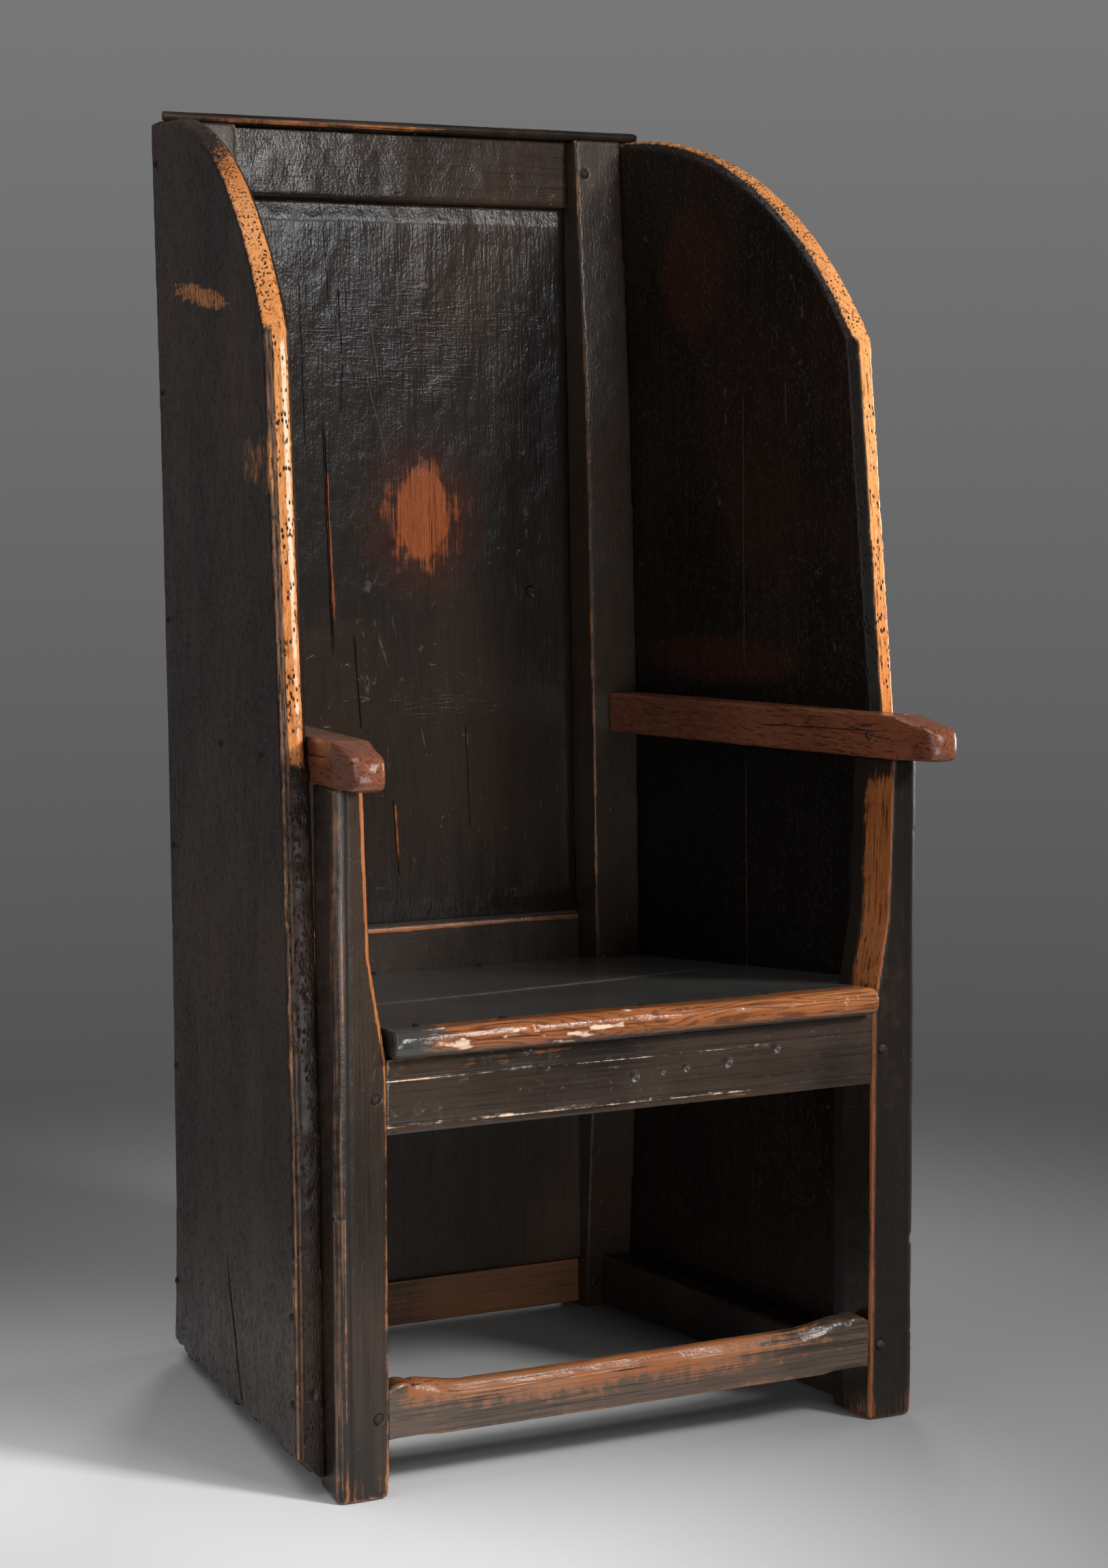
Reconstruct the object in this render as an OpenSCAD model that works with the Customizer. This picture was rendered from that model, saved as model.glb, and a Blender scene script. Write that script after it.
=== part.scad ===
// Boarded wing armchair: two front posts and two raked rear stiles, joined by pegged rails,
// closed at the sides by full height wing boards and at the back by a fielded panel.
// Millimetres, +Z up, the front faces -Y. The origin lies on the floor, under the middle.

/* [Overall] */
// Height over the cap
overall_h = 1248; // [1180:1:1320]
// Width across the outer faces of the front posts
front_w = 594; // [540:2:660]
// Angle by which each side runs inwards towards the back
side_splay = 6.5; // [4:0.25:8.5]

/* [Front posts] */
// Width of a post across the front
post_w = 49; // [44:1:58]
// Depth of a post from front to back
post_d = 60; // [58:1:68]
// Height of a post up to the underside of the arm
post_h = 629; // [600:1:660]
// Amount by which the inner side of a post tapers above the seat
post_taper = 20; // [0:1:22]
// Height over which most of that taper happens
post_taper_rise = 90; // [60:5:130]
// Width of the rounded moulding on the outer front corner
post_mould_w = 12; // [6:1:16]
// Width of the scratched line beside the moulding
scratch_w = 2; // [1:0.5:3]
// Depth of the scratched lines
scratch_depth = 1; // [0.5:0.5:1.5]

/* [Rear stiles] */
// Width of a stile across the front
stile_w = 53; // [50:1:60]
// Depth of a stile from front to back
stile_d = 51; // [50:1:60]
// Distance from the front of the posts to the stiles at seat height
seat_depth = 459; // [420:1:500]
// Amount by which the feet of the stiles stand back from seat height
stile_foot_back = 21; // [10:1:30]
// Amount by which the stiles lean back between the seat and the arm
stile_arm_back = 5; // [3:1:10]
// Amount by which the stiles lean back between the seat and the bend under the top
stile_bend_back = 17; // [11:1:22]
// Amount by which the stiles lean back between the seat and the top
stile_top_back = 38; // [26:1:50]
// Height of the bend under the top
stile_bend_z = 950; // [900:5:1000]

/* [Wing boards] */
// Thickness of a wing board
wing_t = 26; // [20:1:30]
// Distance of the front edge behind the post's face, at the floor
wing_front_low = 40; // [34:1:44]
// Distance of the front edge behind the post's face, at the seat rail
wing_front_seat = 46; // [42:1:48]
// Distance of the front edge behind the post's face, under the arm
wing_front_arm = 65; // [56:1:72]
// Distance of the front edge behind the post's face, at the shoulder
wing_front_shoulder = 109; // [90:1:125]
// Height of the shoulder where the straight edge meets the curve
wing_shoulder_z = 1022; // [980:1:1060]
// Radius of the curve over the shoulder
wing_curve_r = 464; // [420:1:520]
// Clearance of the board's lower edge over the floor
wing_foot = 5; // [2:1:10]
// Height to which the lower outer edge is worn away at the front
wing_foot_wear = 22; // [8:1:30]
// Width worn off the inner edge of the board above the arm
wing_edge_wear = 8; // [4:1:12]
// Depth of the stile that the board covers at the floor
wing_cover_foot = 32; // [29:1:40]
// Depth of the stile that the board covers at its waist
wing_cover_waist = 26; // [26:1:40]
// Depth of the stile that the board covers from the seat to the top
wing_cover = 38; // [30:1:44]
// Height of the waist
wing_waist_z = 168; // [120:2:240]

/* [Arms] */
// Width of an arm
arm_w = 34; // [30:1:40]
// Height of an arm
arm_h = 41; // [36:1:48]
// Distance by which an arm stands out in front of the post
arm_reach = 62; // [40:1:80]
// Fall of an arm from the post to the stile
arm_fall = 7; // [0:1:12]
// Fall of the top of an arm in front of the post
arm_nose_fall = 8; // [0:1:10]
// Radius of the upper front corner of an arm
arm_nose_r = 15; // [8:1:20]
// Radius of the lower front corner of an arm
arm_chin_r = 9; // [4:1:12]
// Radius of the front corners of an arm, seen from above
arm_corner_r = 12; // [6:1:14]

/* [Cap and top rail] */
// Thickness of the cap board
cap_t = 10; // [8:1:16]
// Depth of the cap board from front to back
cap_d = 50; // [46:1:56]
// Distance of the cap behind the front of the stiles
cap_set_back = 3; // [0:1:6]
// Height of the top rail
top_rail_h = 70; // [60:1:85]
// Radius of the rounded lower edge of the top rail
top_rail_r = 5; // [2:1:7]

/* [Back] */
// Thickness of the back rails
back_rail_t = 20; // [20:1:22]
// Distance of the back rails behind the front of the stiles, at the seat
back_recess_low = 30; // [24:1:31]
// Distance of the back rails behind the front of the stiles, at the top
back_recess_high = 19; // [15:1:24]
// Height of the top edge of the rail behind the seat
back_seat_rail_top = 431; // [424:1:445]
// Height of the rail behind the seat
back_seat_rail_h = 100; // [90:1:110]
// Chamfer worn along the top of the rail behind the seat
back_seat_rail_wear = 6; // [3:1:8]
// Thickness of the back panel in its field
panel_t = 11; // [9:0.5:13]
// Thickness of the panel's edge in the grooves
panel_edge_t = 6; // [5:0.5:7]
// Distance by which a panel's edge reaches into its groove
panel_tongue = 9; // [6:1:9]
// Width of the bevel at the top and bottom of the field
bevel_end = 20; // [12:1:30]
// Width of the bevel at the sides of the field
bevel_side = 10; // [8:1:20]
// Thickness of the lower back panel
low_panel_t = 8; // [6:0.5:9]
// Height of the back foot rail
foot_rail_h = 56; // [45:1:70]
// Thickness of the back foot rail
foot_rail_t = 24; // [22:1:26]
// Distance of the back foot rail behind the front of the stiles
foot_rail_recess = 14; // [14:1:18]
// Clearance of the foot rail and the side stretchers over the floor
foot_clear = 4; // [3:1:10]

/* [Front rail and stretchers] */
// Height of the underside of the front seat rail
rail_z = 324; // [310:1:335]
// Height of the front seat rail
rail_h = 67; // [60:1:75]
// Thickness of the front seat rail
rail_t = 24; // [20:1:28]
// Distance of the front rail and stretcher behind the face of the posts
rail_set_back = 2; // [0.5:0.5:4]
// Distance of each scratched line from the edge of the seat rail
rail_scratch_in = 18; // [12:1:22]
// Height of the underside of the front stretcher
stretcher_z = 51; // [40:1:70]
// Height of the front stretcher
stretcher_h = 54; // [45:1:60]
// Thickness of the front stretcher
stretcher_t = 28; // [24:1:30]
// Length left unworn at each end of the front stretcher
stretcher_end = 24; // [12:1:40]
// Depth of the wear along the upper front edge of the front stretcher
stretcher_wear = 19; // [6:1:20]
// Height of the side stretchers
side_stretcher_h = 53; // [42:1:60]
// Thickness of the side stretchers
side_stretcher_t = 28; // [22:1:30]
// Distance of the side stretchers inside the wing boards
side_stretcher_in = 8; // [4:1:12]

/* [Seat] */
// Thickness of the seat boards
seat_t = 26; // [20:1:30]
// Fall of the seat over its depth
seat_fall = 34; // [10:1:38]
// Distance by which the rounded nosing stands out past the posts
seat_nose = 18; // [12:1:24]
// Distance of the joint between the two seat boards behind the front, in the middle
seat_joint_y = 232; // [190:1:270]
// Run of that joint to the back for each unit across
seat_joint_skew = 0.16; // [0:0.02:0.2]
// Height of the hidden side seat rails
bearer_h = 44; // [38:1:54]
// Thickness of the hidden side seat rails
bearer_t = 22; // [18:1:26]
// Height of the batten under the back of the seat
batten_h = 22; // [16:1:24]
// Thickness of the batten under the back of the seat
batten_t = 20; // [14:1:22]

/* [Joints and fasteners] */
// Thickness of the tenons
tenon_t = 9; // [7:1:10]
// Length of the tenons of the rails
tenon_l = 30; // [24:1:32]
// Length of the tenons of the side stretchers and side seat rails
side_tenon_l = 19; // [14:1:19]
// Length of the tenon on top of each post
post_tenon_l = 28; // [22:1:30]
// Shoulder above and below each tenon
tenon_shoulder = 11; // [10:1:12]
// Clearance round tenons and tongues
joint_gap = 0.3; // [0.2:0.1:0.5]
// Clearance round the seat boards
seat_gap = 0.8; // [0.5:0.1:0.9]
// Diameter of the wooden pegs
peg_d = 7; // [5:0.5:8]
// Distance by which the pegs stand proud
peg_proud = 1; // [0.5:0.5:2]
// Length of the pegs in the front joints
peg_l = 34; // [28:1:40]
// Shank diameter of the hand made nails
nail_d = 3.4; // [2.5:0.1:4]
// Head diameter of the hand made nails
nail_head_d = 8; // [7:0.5:9]
// Thickness of the nail heads
nail_head_t = 1.6; // [1:0.2:2.4]
// Length of the nails under the head
nail_l = 42; // [38:1:44]
// Number of nails through each wing board into the post
post_nails = 4; // [3:1:6]
// Number of nails through each wing board into the stile
stile_nails = 6; // [4:1:9]

/* [Hidden] */
$fn = 48;

old_oak = [0.16, 0.11, 0.08];
worn_oak = [0.50, 0.24, 0.10];
red_oak = [0.33, 0.15, 0.08];
iron = [0.12, 0.12, 0.12];

// Clearance of pegs and nails in their holes, and of a tenon's end in its mortise
peg_gap = 0.05;
nail_gap = 0.1;
mortise_end = 1;

// Cutters pass what they cut by this much, and outlines pass the chair by these
cut = 1;
past = 20;
big = 3000;
deep = seat_depth * 1.2;
half_w = front_w / 2;
splay_run = tan(side_splay);
splay_len = 1 / cos(side_splay);
stile_top_z = overall_h - cap_t;
seat_level = rail_z + rail_h;
seat_slope = atan(seat_fall / seat_depth);
arm_slope = atan(arm_fall / seat_depth);

// Half width to the inner face of the wing boards, at a distance behind the front of the posts
function side_x(y) = half_w - y * splay_run;

// Place of the front face of the stiles at a height
function stile_y(z) = lookup(z, [
    [0, seat_depth + stile_foot_back],
    [seat_level, seat_depth],
    [post_h, seat_depth + stile_arm_back],
    [stile_bend_z, seat_depth + stile_bend_back],
    [stile_top_z, seat_depth + stile_top_back]
]);
stile_heights = [0, seat_level, post_h, stile_bend_z, stile_top_z];
stile_heights_down = [for (i = [len(stile_heights) - 1:-1:0]) stile_heights[i]];

// Raked plane of the back rails and the panel
back_low_z = back_seat_rail_top;
back_high_z = stile_top_z - top_rail_h;
back_low_y = stile_y(back_low_z) + back_recess_low;
back_high_y = stile_y(back_high_z) + back_recess_high;
back_tilt = atan((back_high_y - back_low_y) / (back_high_z - back_low_z));
back_len = (back_high_z - back_low_z) / cos(back_tilt);
back_inner = side_x(back_low_y) - stile_w;
panel_inset = 4;
panel_back = back_rail_t - panel_inset;
panel_front = panel_back - panel_t;
panel_edge = panel_back - panel_edge_t;
groove_d = panel_tongue + mortise_end;
rail_bottom_z = back_low_z - back_seat_rail_h;
low_panel_y = back_low_y - back_seat_rail_h * tan(back_tilt) + (back_rail_t - low_panel_t) / 2;
foot_rail_y = stile_y(foot_clear + foot_rail_h / 2) + foot_rail_recess;
foot_rail_top = foot_clear + foot_rail_h;

// The cap and the origin, which lies under the middle of the chair's length
cap_y = stile_y(stile_top_z) + cap_set_back;
cap_in = 2;
cap_half = side_x(cap_y) + wing_t * splay_len - cap_in;
cap_back_half = side_x(cap_y + cap_d) + cap_in;
arm_tip = (arm_w - arm_corner_r) * sin(side_splay) + (arm_reach - arm_corner_r) * cos(side_splay)
    + arm_corner_r;
origin_y = (cap_y + cap_d - arm_tip) / 2;

// Moves everything from the front of the posts to the origin
module placed() {
    translate([0, -origin_y, 0])
        children();
}

// Keeps right hand parts as they are and mirrors them for the left
module handed(right) {
    if (right) {
        children();
    } else {
        mirror([1, 0, 0])
            children();
    }
}

// Frame of the right side: X runs outwards from the board's inner face, Y runs back along it
module on_side() {
    translate([half_w, 0, 0])
        rotate([0, 0, side_splay])
            children();
}

// Frame of the right arm: Y runs back along its underside from the front of the post
module on_arm() {
    on_side()
        translate([0, 0, post_h])
            rotate([-arm_slope, 0, 0])
                children();
}

// Frame of the raked back: Y runs to the rear from the faces of the rails, Z up from the seat rail's top
module on_back() {
    translate([0, back_low_y, back_low_z])
        rotate([-back_tilt, 0, 0])
            children();
}

// Frame of the seat: Y runs back along its underside, Z is square to the boards
module on_seat() {
    translate([0, rail_set_back, seat_level])
        rotate([-seat_slope, 0, 0])
            children();
}

// Outline in Y and Z, given a thickness along X
module side_plate(thickness) {
    rotate([90, 0, 90])
        linear_extrude(thickness)
            children();
}

// Block centred across the chair
module wide_block(half, y0, y1, z0, z1) {
    translate([-half, y0, z0])
        cube([2 * half, y1 - y0, z1 - z0]);
}

// Waste of a rounded corner whose edges run along -X and -Y from the origin
module corner_waste(r) {
    difference() {
        translate([-r, -r])
            square(r + cut);
        translate([-r, -r])
            circle(r = r);
    }
}

// Upright prism that fills the space between the sides, less an inset, over a run of depth
module between_sides(inset, y0, y1) {
    translate([0, 0, -past])
        linear_extrude(overall_h + 3 * past)
            polygon([
                [-(side_x(y0) - inset), y0], [side_x(y0) - inset, y0],
                [side_x(y1) - inset, y1], [-(side_x(y1) - inset), y1]
            ]);
}

module between_stiles(inset = 0) {
    between_sides(stile_w + inset, 0, deep);
}

module between_posts() {
    between_sides(post_w, -past, seat_depth);
}

// Everything behind the front faces of the stiles
module behind_stiles() {
    translate([-big / 2, 0, 0])
        side_plate(big)
            polygon(
                concat(
                    [[stile_y(0), -past]],
                    [for (z = stile_heights) [stile_y(z), z]],
                    [
                        [stile_y(stile_top_z), overall_h + past],
                        [big / 2, overall_h + past], [big / 2, -past]
                    ]
                )
            );
}

module pair_of_tenons(inner, y_mid, z0, z1, gap) {
    wide_block(
        inner + tenon_l + (gap > 0 ? mortise_end : 0),
        y_mid - tenon_t / 2 - gap, y_mid + tenon_t / 2 + gap,
        z0 + tenon_shoulder - gap, z1 - tenon_shoulder + gap
    );
}

module seat_rail_tenons(gap = 0) {
    pair_of_tenons(half_w - post_w, rail_set_back + rail_t / 2, rail_z, seat_level, gap);
}

module stretcher_tenons(gap = 0) {
    pair_of_tenons(
        half_w - post_w, rail_set_back + stretcher_t / 2,
        stretcher_z, stretcher_z + stretcher_h, gap
    );
}

module top_rail_tenons(gap = 0) {
    on_back()
        pair_of_tenons(back_inner, back_rail_t / 2, back_len, back_len + top_rail_h, gap);
}

module back_seat_rail_tenons(gap = 0) {
    on_back()
        pair_of_tenons(back_inner, back_rail_t / 2, -back_seat_rail_h, 0, gap);
}

module foot_rail_tenons(gap = 0) {
    pair_of_tenons(back_inner, foot_rail_y + foot_rail_t / 2, foot_clear, foot_rail_top, gap);
}

// Tenons at both ends of a rail that runs from the post back to the stile
module side_tenons(t_mid, z_mid, height, gap) {
    reach = side_tenon_l + (gap > 0 ? mortise_end : 0);
    start = post_d * splay_len - reach;
    end = stile_y(z_mid) * splay_len + reach;
    on_side()
        translate([t_mid - tenon_t / 2 - gap, start, z_mid - height / 2 - gap])
            cube([tenon_t + 2 * gap, end - start, height + 2 * gap]);
}

side_stretcher_mid = -side_stretcher_in - side_stretcher_t / 2;
bearer_in = 2;

// The side seat rails fall with the seat, so their level tenons lie where both ends can hold them
bearer_low = seat_level - bearer_h - seat_fall * post_d / seat_depth;
bearer_high = seat_level - seat_fall;
bearer_mid_z = (bearer_low + bearer_high) / 2;
bearer_tenon_h = min(bearer_h / 3, bearer_high - bearer_low - bearer_in);

module side_stretcher_tenons(gap = 0) {
    side_tenons(
        side_stretcher_mid, foot_clear + side_stretcher_h / 2,
        side_stretcher_h - 2 * tenon_shoulder, gap
    );
}

module bearer_tenons(gap = 0) {
    side_tenons(-bearer_in - bearer_t / 2, bearer_mid_z, bearer_tenon_h, gap);
}

module arm_tenon(gap = 0) {
    on_arm()
        translate([-arm_w / 2 - tenon_t / 2 - gap, seat_depth / 2, arm_h / 4 - gap])
            cube([
                tenon_t + 2 * gap,
                (stile_y(post_h) * splay_len - seat_depth / 2) + side_tenon_l + (gap > 0 ? mortise_end : 0),
                arm_h / 2 + 2 * gap
            ]);
}

module post_tenon(gap = 0) {
    root = 5;
    on_arm()
        translate([-arm_w / 2 - tenon_t / 2 - gap, post_d / 4 - gap, -root])
            cube([
                tenon_t + 2 * gap, post_d / 2 + 2 * gap,
                post_tenon_l + root + (gap > 0 ? mortise_end : 0)
            ]);
}

// Everything above the underside of the right arm's front half
module above_arm() {
    on_arm()
        translate([-2 * post_w, -post_d, 0])
            cube([3 * post_w, 3 * post_d, 2 * arm_h]);
}

module peg(length, gap) {
    rotate([-90, 0, 0])
        cylinder(h = length, d = peg_d + 2 * gap);
}

// Heights of the pegs, and how far they stand inside the shoulders of their joints
peg_in = tenon_l / 3;
low_share = 0.42;
front_peg_zs = [rail_z + rail_h / 2, stretcher_z + stretcher_h * low_share];
back_peg_zs = [
    foot_clear + foot_rail_h * low_share,
    back_low_z - back_seat_rail_h / 2,
    back_high_z + top_rail_h / 2
];

// All pegs of the right side that run from front to back
module frame_pegs_right(gap = 0) {
    for (z = front_peg_zs) {
        translate([half_w - post_w + peg_in, -peg_proud, z])
            peg(peg_l, gap);
    }
    for (z = back_peg_zs) {
        translate([side_x(stile_y(z)) - stile_w + peg_in, stile_y(z) - peg_proud, z])
            peg(stile_d + 2 * peg_proud, gap);
    }
}

// The peg through the right arm and the tenon on the post
module arm_peg_right(gap = 0) {
    on_arm()
        translate([-arm_w - peg_proud, post_d * 0.6, arm_h / 2])
            rotate([0, 90, 0])
                cylinder(h = arm_w - peg_proud, d = peg_d * 0.8 + 2 * gap);
}

// A nail with the underside of its head at the origin and its shank along -Z
module nail() {
    translate([0, 0, -nail_l])
        cylinder(h = nail_l + nail_head_t / 2, d = nail_d, $fn = 24);
    cylinder(h = nail_head_t, d1 = nail_head_d, d2 = nail_head_d * 0.6, $fn = 24);
}

module nail_hole() {
    translate([0, 0, -nail_l - cut])
        cylinder(h = nail_l + 2 * cut, d = nail_d + 2 * nail_gap, $fn = 24);
}

// Nail places along the post, the stile and the arm, in the plane of the right board
low_nail_z = 80;
high_nail_z = stile_top_z - low_nail_z / 2;
nail_in = 3;
function post_nail_z(i) = low_nail_z + i * (rail_z - low_nail_z - 3 * nail_in) / (post_nails - 1);
function stile_nail_z(i) = low_nail_z + i * (high_nail_z - low_nail_z) / (stile_nails - 1);
wing_nail_places = concat(
    [for (i = [0:post_nails - 1])
        [(wing_front_seat + post_d) / 2, post_nail_z(i)]],
    [for (i = [0:stile_nails - 1])
        [(stile_y(stile_nail_z(i)) + side_tenon_l + nail_in) * splay_len, stile_nail_z(i)]],
    [for (share = [0.3, 0.62])
        [seat_depth * share, post_h + arm_h / 2 - arm_fall * share]]
);

module at_wing_nails() {
    on_side() {
        for (place = wing_nail_places) {
            translate([wing_t, place[0], place[1]])
                rotate([0, 90, 0])
                    children();
        }
    }
}

module at_cap_nails() {
    for (share = [-0.94, -0.45, 0.06, 0.52, 0.9]) {
        translate([
            share * back_inner,
            back_high_y + top_rail_h * tan(back_tilt) + back_rail_t / 2,
            overall_h
        ])
            children();
    }
}

module at_front_seat_nails() {
    on_seat() {
        for (share = [-0.86, -0.52, 0.04, 0.56]) {
            translate([share * (half_w - post_w), rail_t / 2, seat_t])
                children();
        }
    }
}

module at_rear_seat_nails() {
    on_seat() {
        for (share = [-0.8, -0.3, 0.34, 0.82]) {
            translate([share * back_inner, back_low_y - rail_set_back - batten_t * 0.6, seat_t])
                children();
        }
    }
}

// Outline of the right post seen from above, with its moulded corner and scratched line
module post_outline() {
    difference() {
        polygon([
            [half_w - post_w, 0], [half_w, 0],
            [side_x(post_d), post_d], [side_x(post_d) - post_w, post_d]
        ]);
        translate([half_w, 0])
            rotate(-90)
                corner_waste(post_mould_w);
        translate([half_w - post_mould_w - scratch_w, -cut])
            square([scratch_w, cut + scratch_depth]);
    }
}

// Waste along the inner side of the right post above the seat
module post_taper_waste() {
    top = post_h + past;
    translate([half_w - post_w, 0, 0])
        rotate([0, 0, side_splay])
            rotate([90, 0, 0])
                linear_extrude(post_d * 4, center = true)
                    polygon([
                        [-post_w, seat_level], [0, seat_level],
                        [post_taper * 0.75, seat_level + post_taper_rise],
                        [post_taper, top], [-post_w, top]
                    ]);
}

module front_post(right) {
    color(old_oak)
    placed()
    handed(right)
    difference() {
        union() {
            difference() {
                linear_extrude(post_h + past)
                    post_outline();
                above_arm();
                post_taper_waste();
            }
            post_tenon();
        }
        seat_rail_tenons(joint_gap);
        stretcher_tenons(joint_gap);
        side_stretcher_tenons(joint_gap);
        bearer_tenons(joint_gap);
        frame_pegs_right(peg_gap);
        arm_peg_right(peg_gap);
        at_wing_nails()
            nail_hole();
    }
}

module rear_stile(right) {
    color(old_oak)
    placed()
    handed(right)
    difference() {
        intersection() {
            side_plate(half_w)
                polygon(
                    concat(
                        [for (z = stile_heights) [stile_y(z), z]],
                        [for (z = stile_heights_down) [stile_y(z) + stile_d, z]]
                    )
                );
            difference() {
                between_sides(0, 0, deep);
                between_stiles();
            }
        }
        top_rail_tenons(joint_gap);
        back_seat_rail_tenons(joint_gap);
        foot_rail_tenons(joint_gap);
        side_stretcher_tenons(joint_gap);
        bearer_tenons(joint_gap);
        arm_tenon(joint_gap);
        panel_groove();
        low_panel_groove();
        frame_pegs_right(peg_gap);
        at_wing_nails()
            nail_hole();
    }
}

// Outline of a wing board, before its curve is cut: Y along the board, Z up
module wing_outline() {
    polygon([
        [wing_front_low, wing_foot],
        [wing_front_seat, rail_z],
        [wing_front_arm, post_h],
        [wing_front_shoulder, wing_shoulder_z],
        [wing_front_shoulder, stile_top_z],
        wing_back_point(stile_top_z, wing_cover),
        wing_back_point(stile_bend_z, wing_cover),
        wing_back_point(post_h, wing_cover),
        wing_back_point(seat_level, wing_cover),
        wing_back_point(wing_waist_z, wing_cover_waist),
        wing_back_point(wing_foot, wing_cover_foot)
    ]);
}

// Point on the back edge of a wing board
function wing_back_point(z, cover) = [(stile_y(z) + cover) * splay_len, z];

// Centre of the curve, such that it passes through the shoulder and is level at the back top corner
curve_z = stile_top_z - wing_curve_r;
curve_y = wing_front_shoulder
    + sqrt(pow(wing_curve_r, 2) - pow(wing_shoulder_z - curve_z, 2));

module wing_board(right) {
    color(worn_oak)
    placed()
    handed(right)
    difference() {
        on_side()
            difference() {
                side_plate(wing_t)
                    wing_outline();
                wing_curve_waste(wing_t + cut, wing_curve_r, wing_curve_r);
                wing_curve_waste(
                    wing_edge_wear + cut,
                    wing_curve_r - wing_edge_wear - 2 * cut, wing_curve_r + 2 * cut
                );
                wing_edge_waste();
                wing_foot_waste();
            }
        at_wing_nails()
            nail_hole();
    }
}

// Waste above the curved top, down to a depth in the board; a cone leaves a worn edge
module wing_curve_waste(depth, r_inner, r_outer) {
    difference() {
        translate([-cut, 0, wing_shoulder_z])
            cube([depth + cut, curve_y, big]);
        translate([-2 * cut, curve_y, curve_z])
            rotate([0, 90, 0])
                cylinder(h = depth + 3 * cut, r1 = r_inner, r2 = r_outer, $fn = 180);
    }
}

// Waste of the worn inner edge from the arm up; it stops below the shoulder, where the curve begins
module wing_edge_waste() {
    run = wing_front_shoulder - wing_front_arm;
    rise = wing_shoulder_z - post_h;
    translate([0, wing_front_arm, post_h])
        rotate([-atan(run / rise), 0, 0])
            translate([0, 0, arm_h / 2])
                linear_extrude(sqrt(run * run + rise * rise) - arm_h / 2 - wing_edge_wear)
                    polygon([
                        [-cut, -cut], [wing_edge_wear + cut, -cut], [-cut, wing_edge_wear + cut]
                    ]);
}

// Waste of the lower outer edge, broken away more and more towards the front
module wing_foot_waste() {
    length = seat_depth - wing_front_low;
    translate([wing_t, seat_depth, wing_foot])
        rotate([90 - atan(wing_foot_wear / length), 0, 0])
            linear_extrude(seat_depth)
                polygon([[cut, cut], [cut, -3 * wing_t], [-3 * wing_t, -3 * wing_t]]);
}

module arm(right) {
    color(red_oak)
    placed()
    handed(right)
    difference() {
        union() {
            difference() {
                on_arm()
                    intersection() {
                        translate([-arm_w, 0, 0])
                            side_plate(arm_w)
                                arm_side_outline();
                        linear_extrude(arm_h)
                            arm_top_outline();
                    }
                behind_stiles();
            }
            intersection() {
                arm_tenon();
                behind_stiles();
            }
        }
        post_tenon(joint_gap);
        arm_peg_right(peg_gap);
        at_wing_nails()
            nail_hole();
    }
}

module arm_side_outline() {
    tip_h = arm_h - arm_nose_fall;
    difference() {
        polygon([
            [-arm_reach, 0], [-arm_reach, tip_h], [arm_nose_r - arm_reach, tip_h],
            [0, arm_h], [seat_depth * 1.1, arm_h], [seat_depth * 1.1, 0]
        ]);
        translate([-arm_reach, tip_h])
            mirror([1, 0])
                corner_waste(arm_nose_r);
        translate([-arm_reach, 0])
            rotate(180)
                corner_waste(arm_chin_r);
    }
}

module arm_top_outline() {
    difference() {
        translate([-arm_w, -arm_reach])
            square([arm_w, arm_reach + seat_depth * 1.1]);
        translate([0, -arm_reach])
            mirror([0, 1])
                corner_waste(arm_corner_r);
        translate([-arm_w, -arm_reach])
            rotate(180)
                corner_waste(arm_corner_r);
    }
}

module cap_board() {
    back = cap_y + cap_d;
    color(old_oak)
    placed()
    difference() {
        intersection() {
            translate([-cap_half, 0, stile_top_z])
                side_plate(2 * cap_half)
                    cap_section();
            linear_extrude(overall_h + cut)
                polygon([
                    [-cap_half, cap_y], [cap_half, cap_y],
                    [cap_back_half, back], [-cap_back_half, back]
                ]);
        }
        at_cap_nails()
            nail_hole();
    }
}

// Section of the cap with its rounded front edge
module cap_section() {
    r = cap_t / 2;
    translate([cap_y + r, 0])
        square([cap_d - r, cap_t]);
    translate([cap_y + r, r])
        circle(r = r);
}

module top_rail() {
    color(old_oak)
    placed()
    difference() {
        union() {
            intersection() {
                on_back()
                    translate([-half_w, 0, 0])
                        side_plate(front_w)
                            difference() {
                                translate([0, back_len])
                                    square([back_rail_t, top_rail_h + past]);
                                translate([0, back_len])
                                    rotate(180)
                                        corner_waste(top_rail_r);
                            }
                between_stiles();
                wide_block(big, 0, big, 0, stile_top_z);
            }
            top_rail_tenons();
        }
        panel_groove();
        frame_pegs_right(peg_gap);
        mirror([1, 0, 0])
            frame_pegs_right(peg_gap);
        at_cap_nails()
            nail_hole();
    }
}

// Groove for the edges of the back panel, in the stiles and in both rails
module panel_groove() {
    on_back()
        wide_block(
            back_inner + groove_d, panel_edge - joint_gap, panel_back + joint_gap,
            -groove_d, back_len + groove_d
        );
}

module low_panel_groove() {
    wide_block(
        back_inner + groove_d, low_panel_y - joint_gap, low_panel_y + low_panel_t + joint_gap,
        foot_rail_top - groove_d, rail_bottom_z + groove_d
    );
}

module back_panel() {
    end = back_len + panel_tongue;
    color(old_oak)
    placed()
    intersection() {
        on_back()
            difference() {
                wide_block(half_w, panel_front, panel_back, -panel_tongue, end);
                for (low = [false, true]) {
                    panel_end_bevel(low);
                }
                for (side = [0, 1]) {
                    mirror([side, 0, 0])
                        panel_side_bevel();
                }
            }
        between_stiles(-panel_tongue + joint_gap);
    }
}

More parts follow.
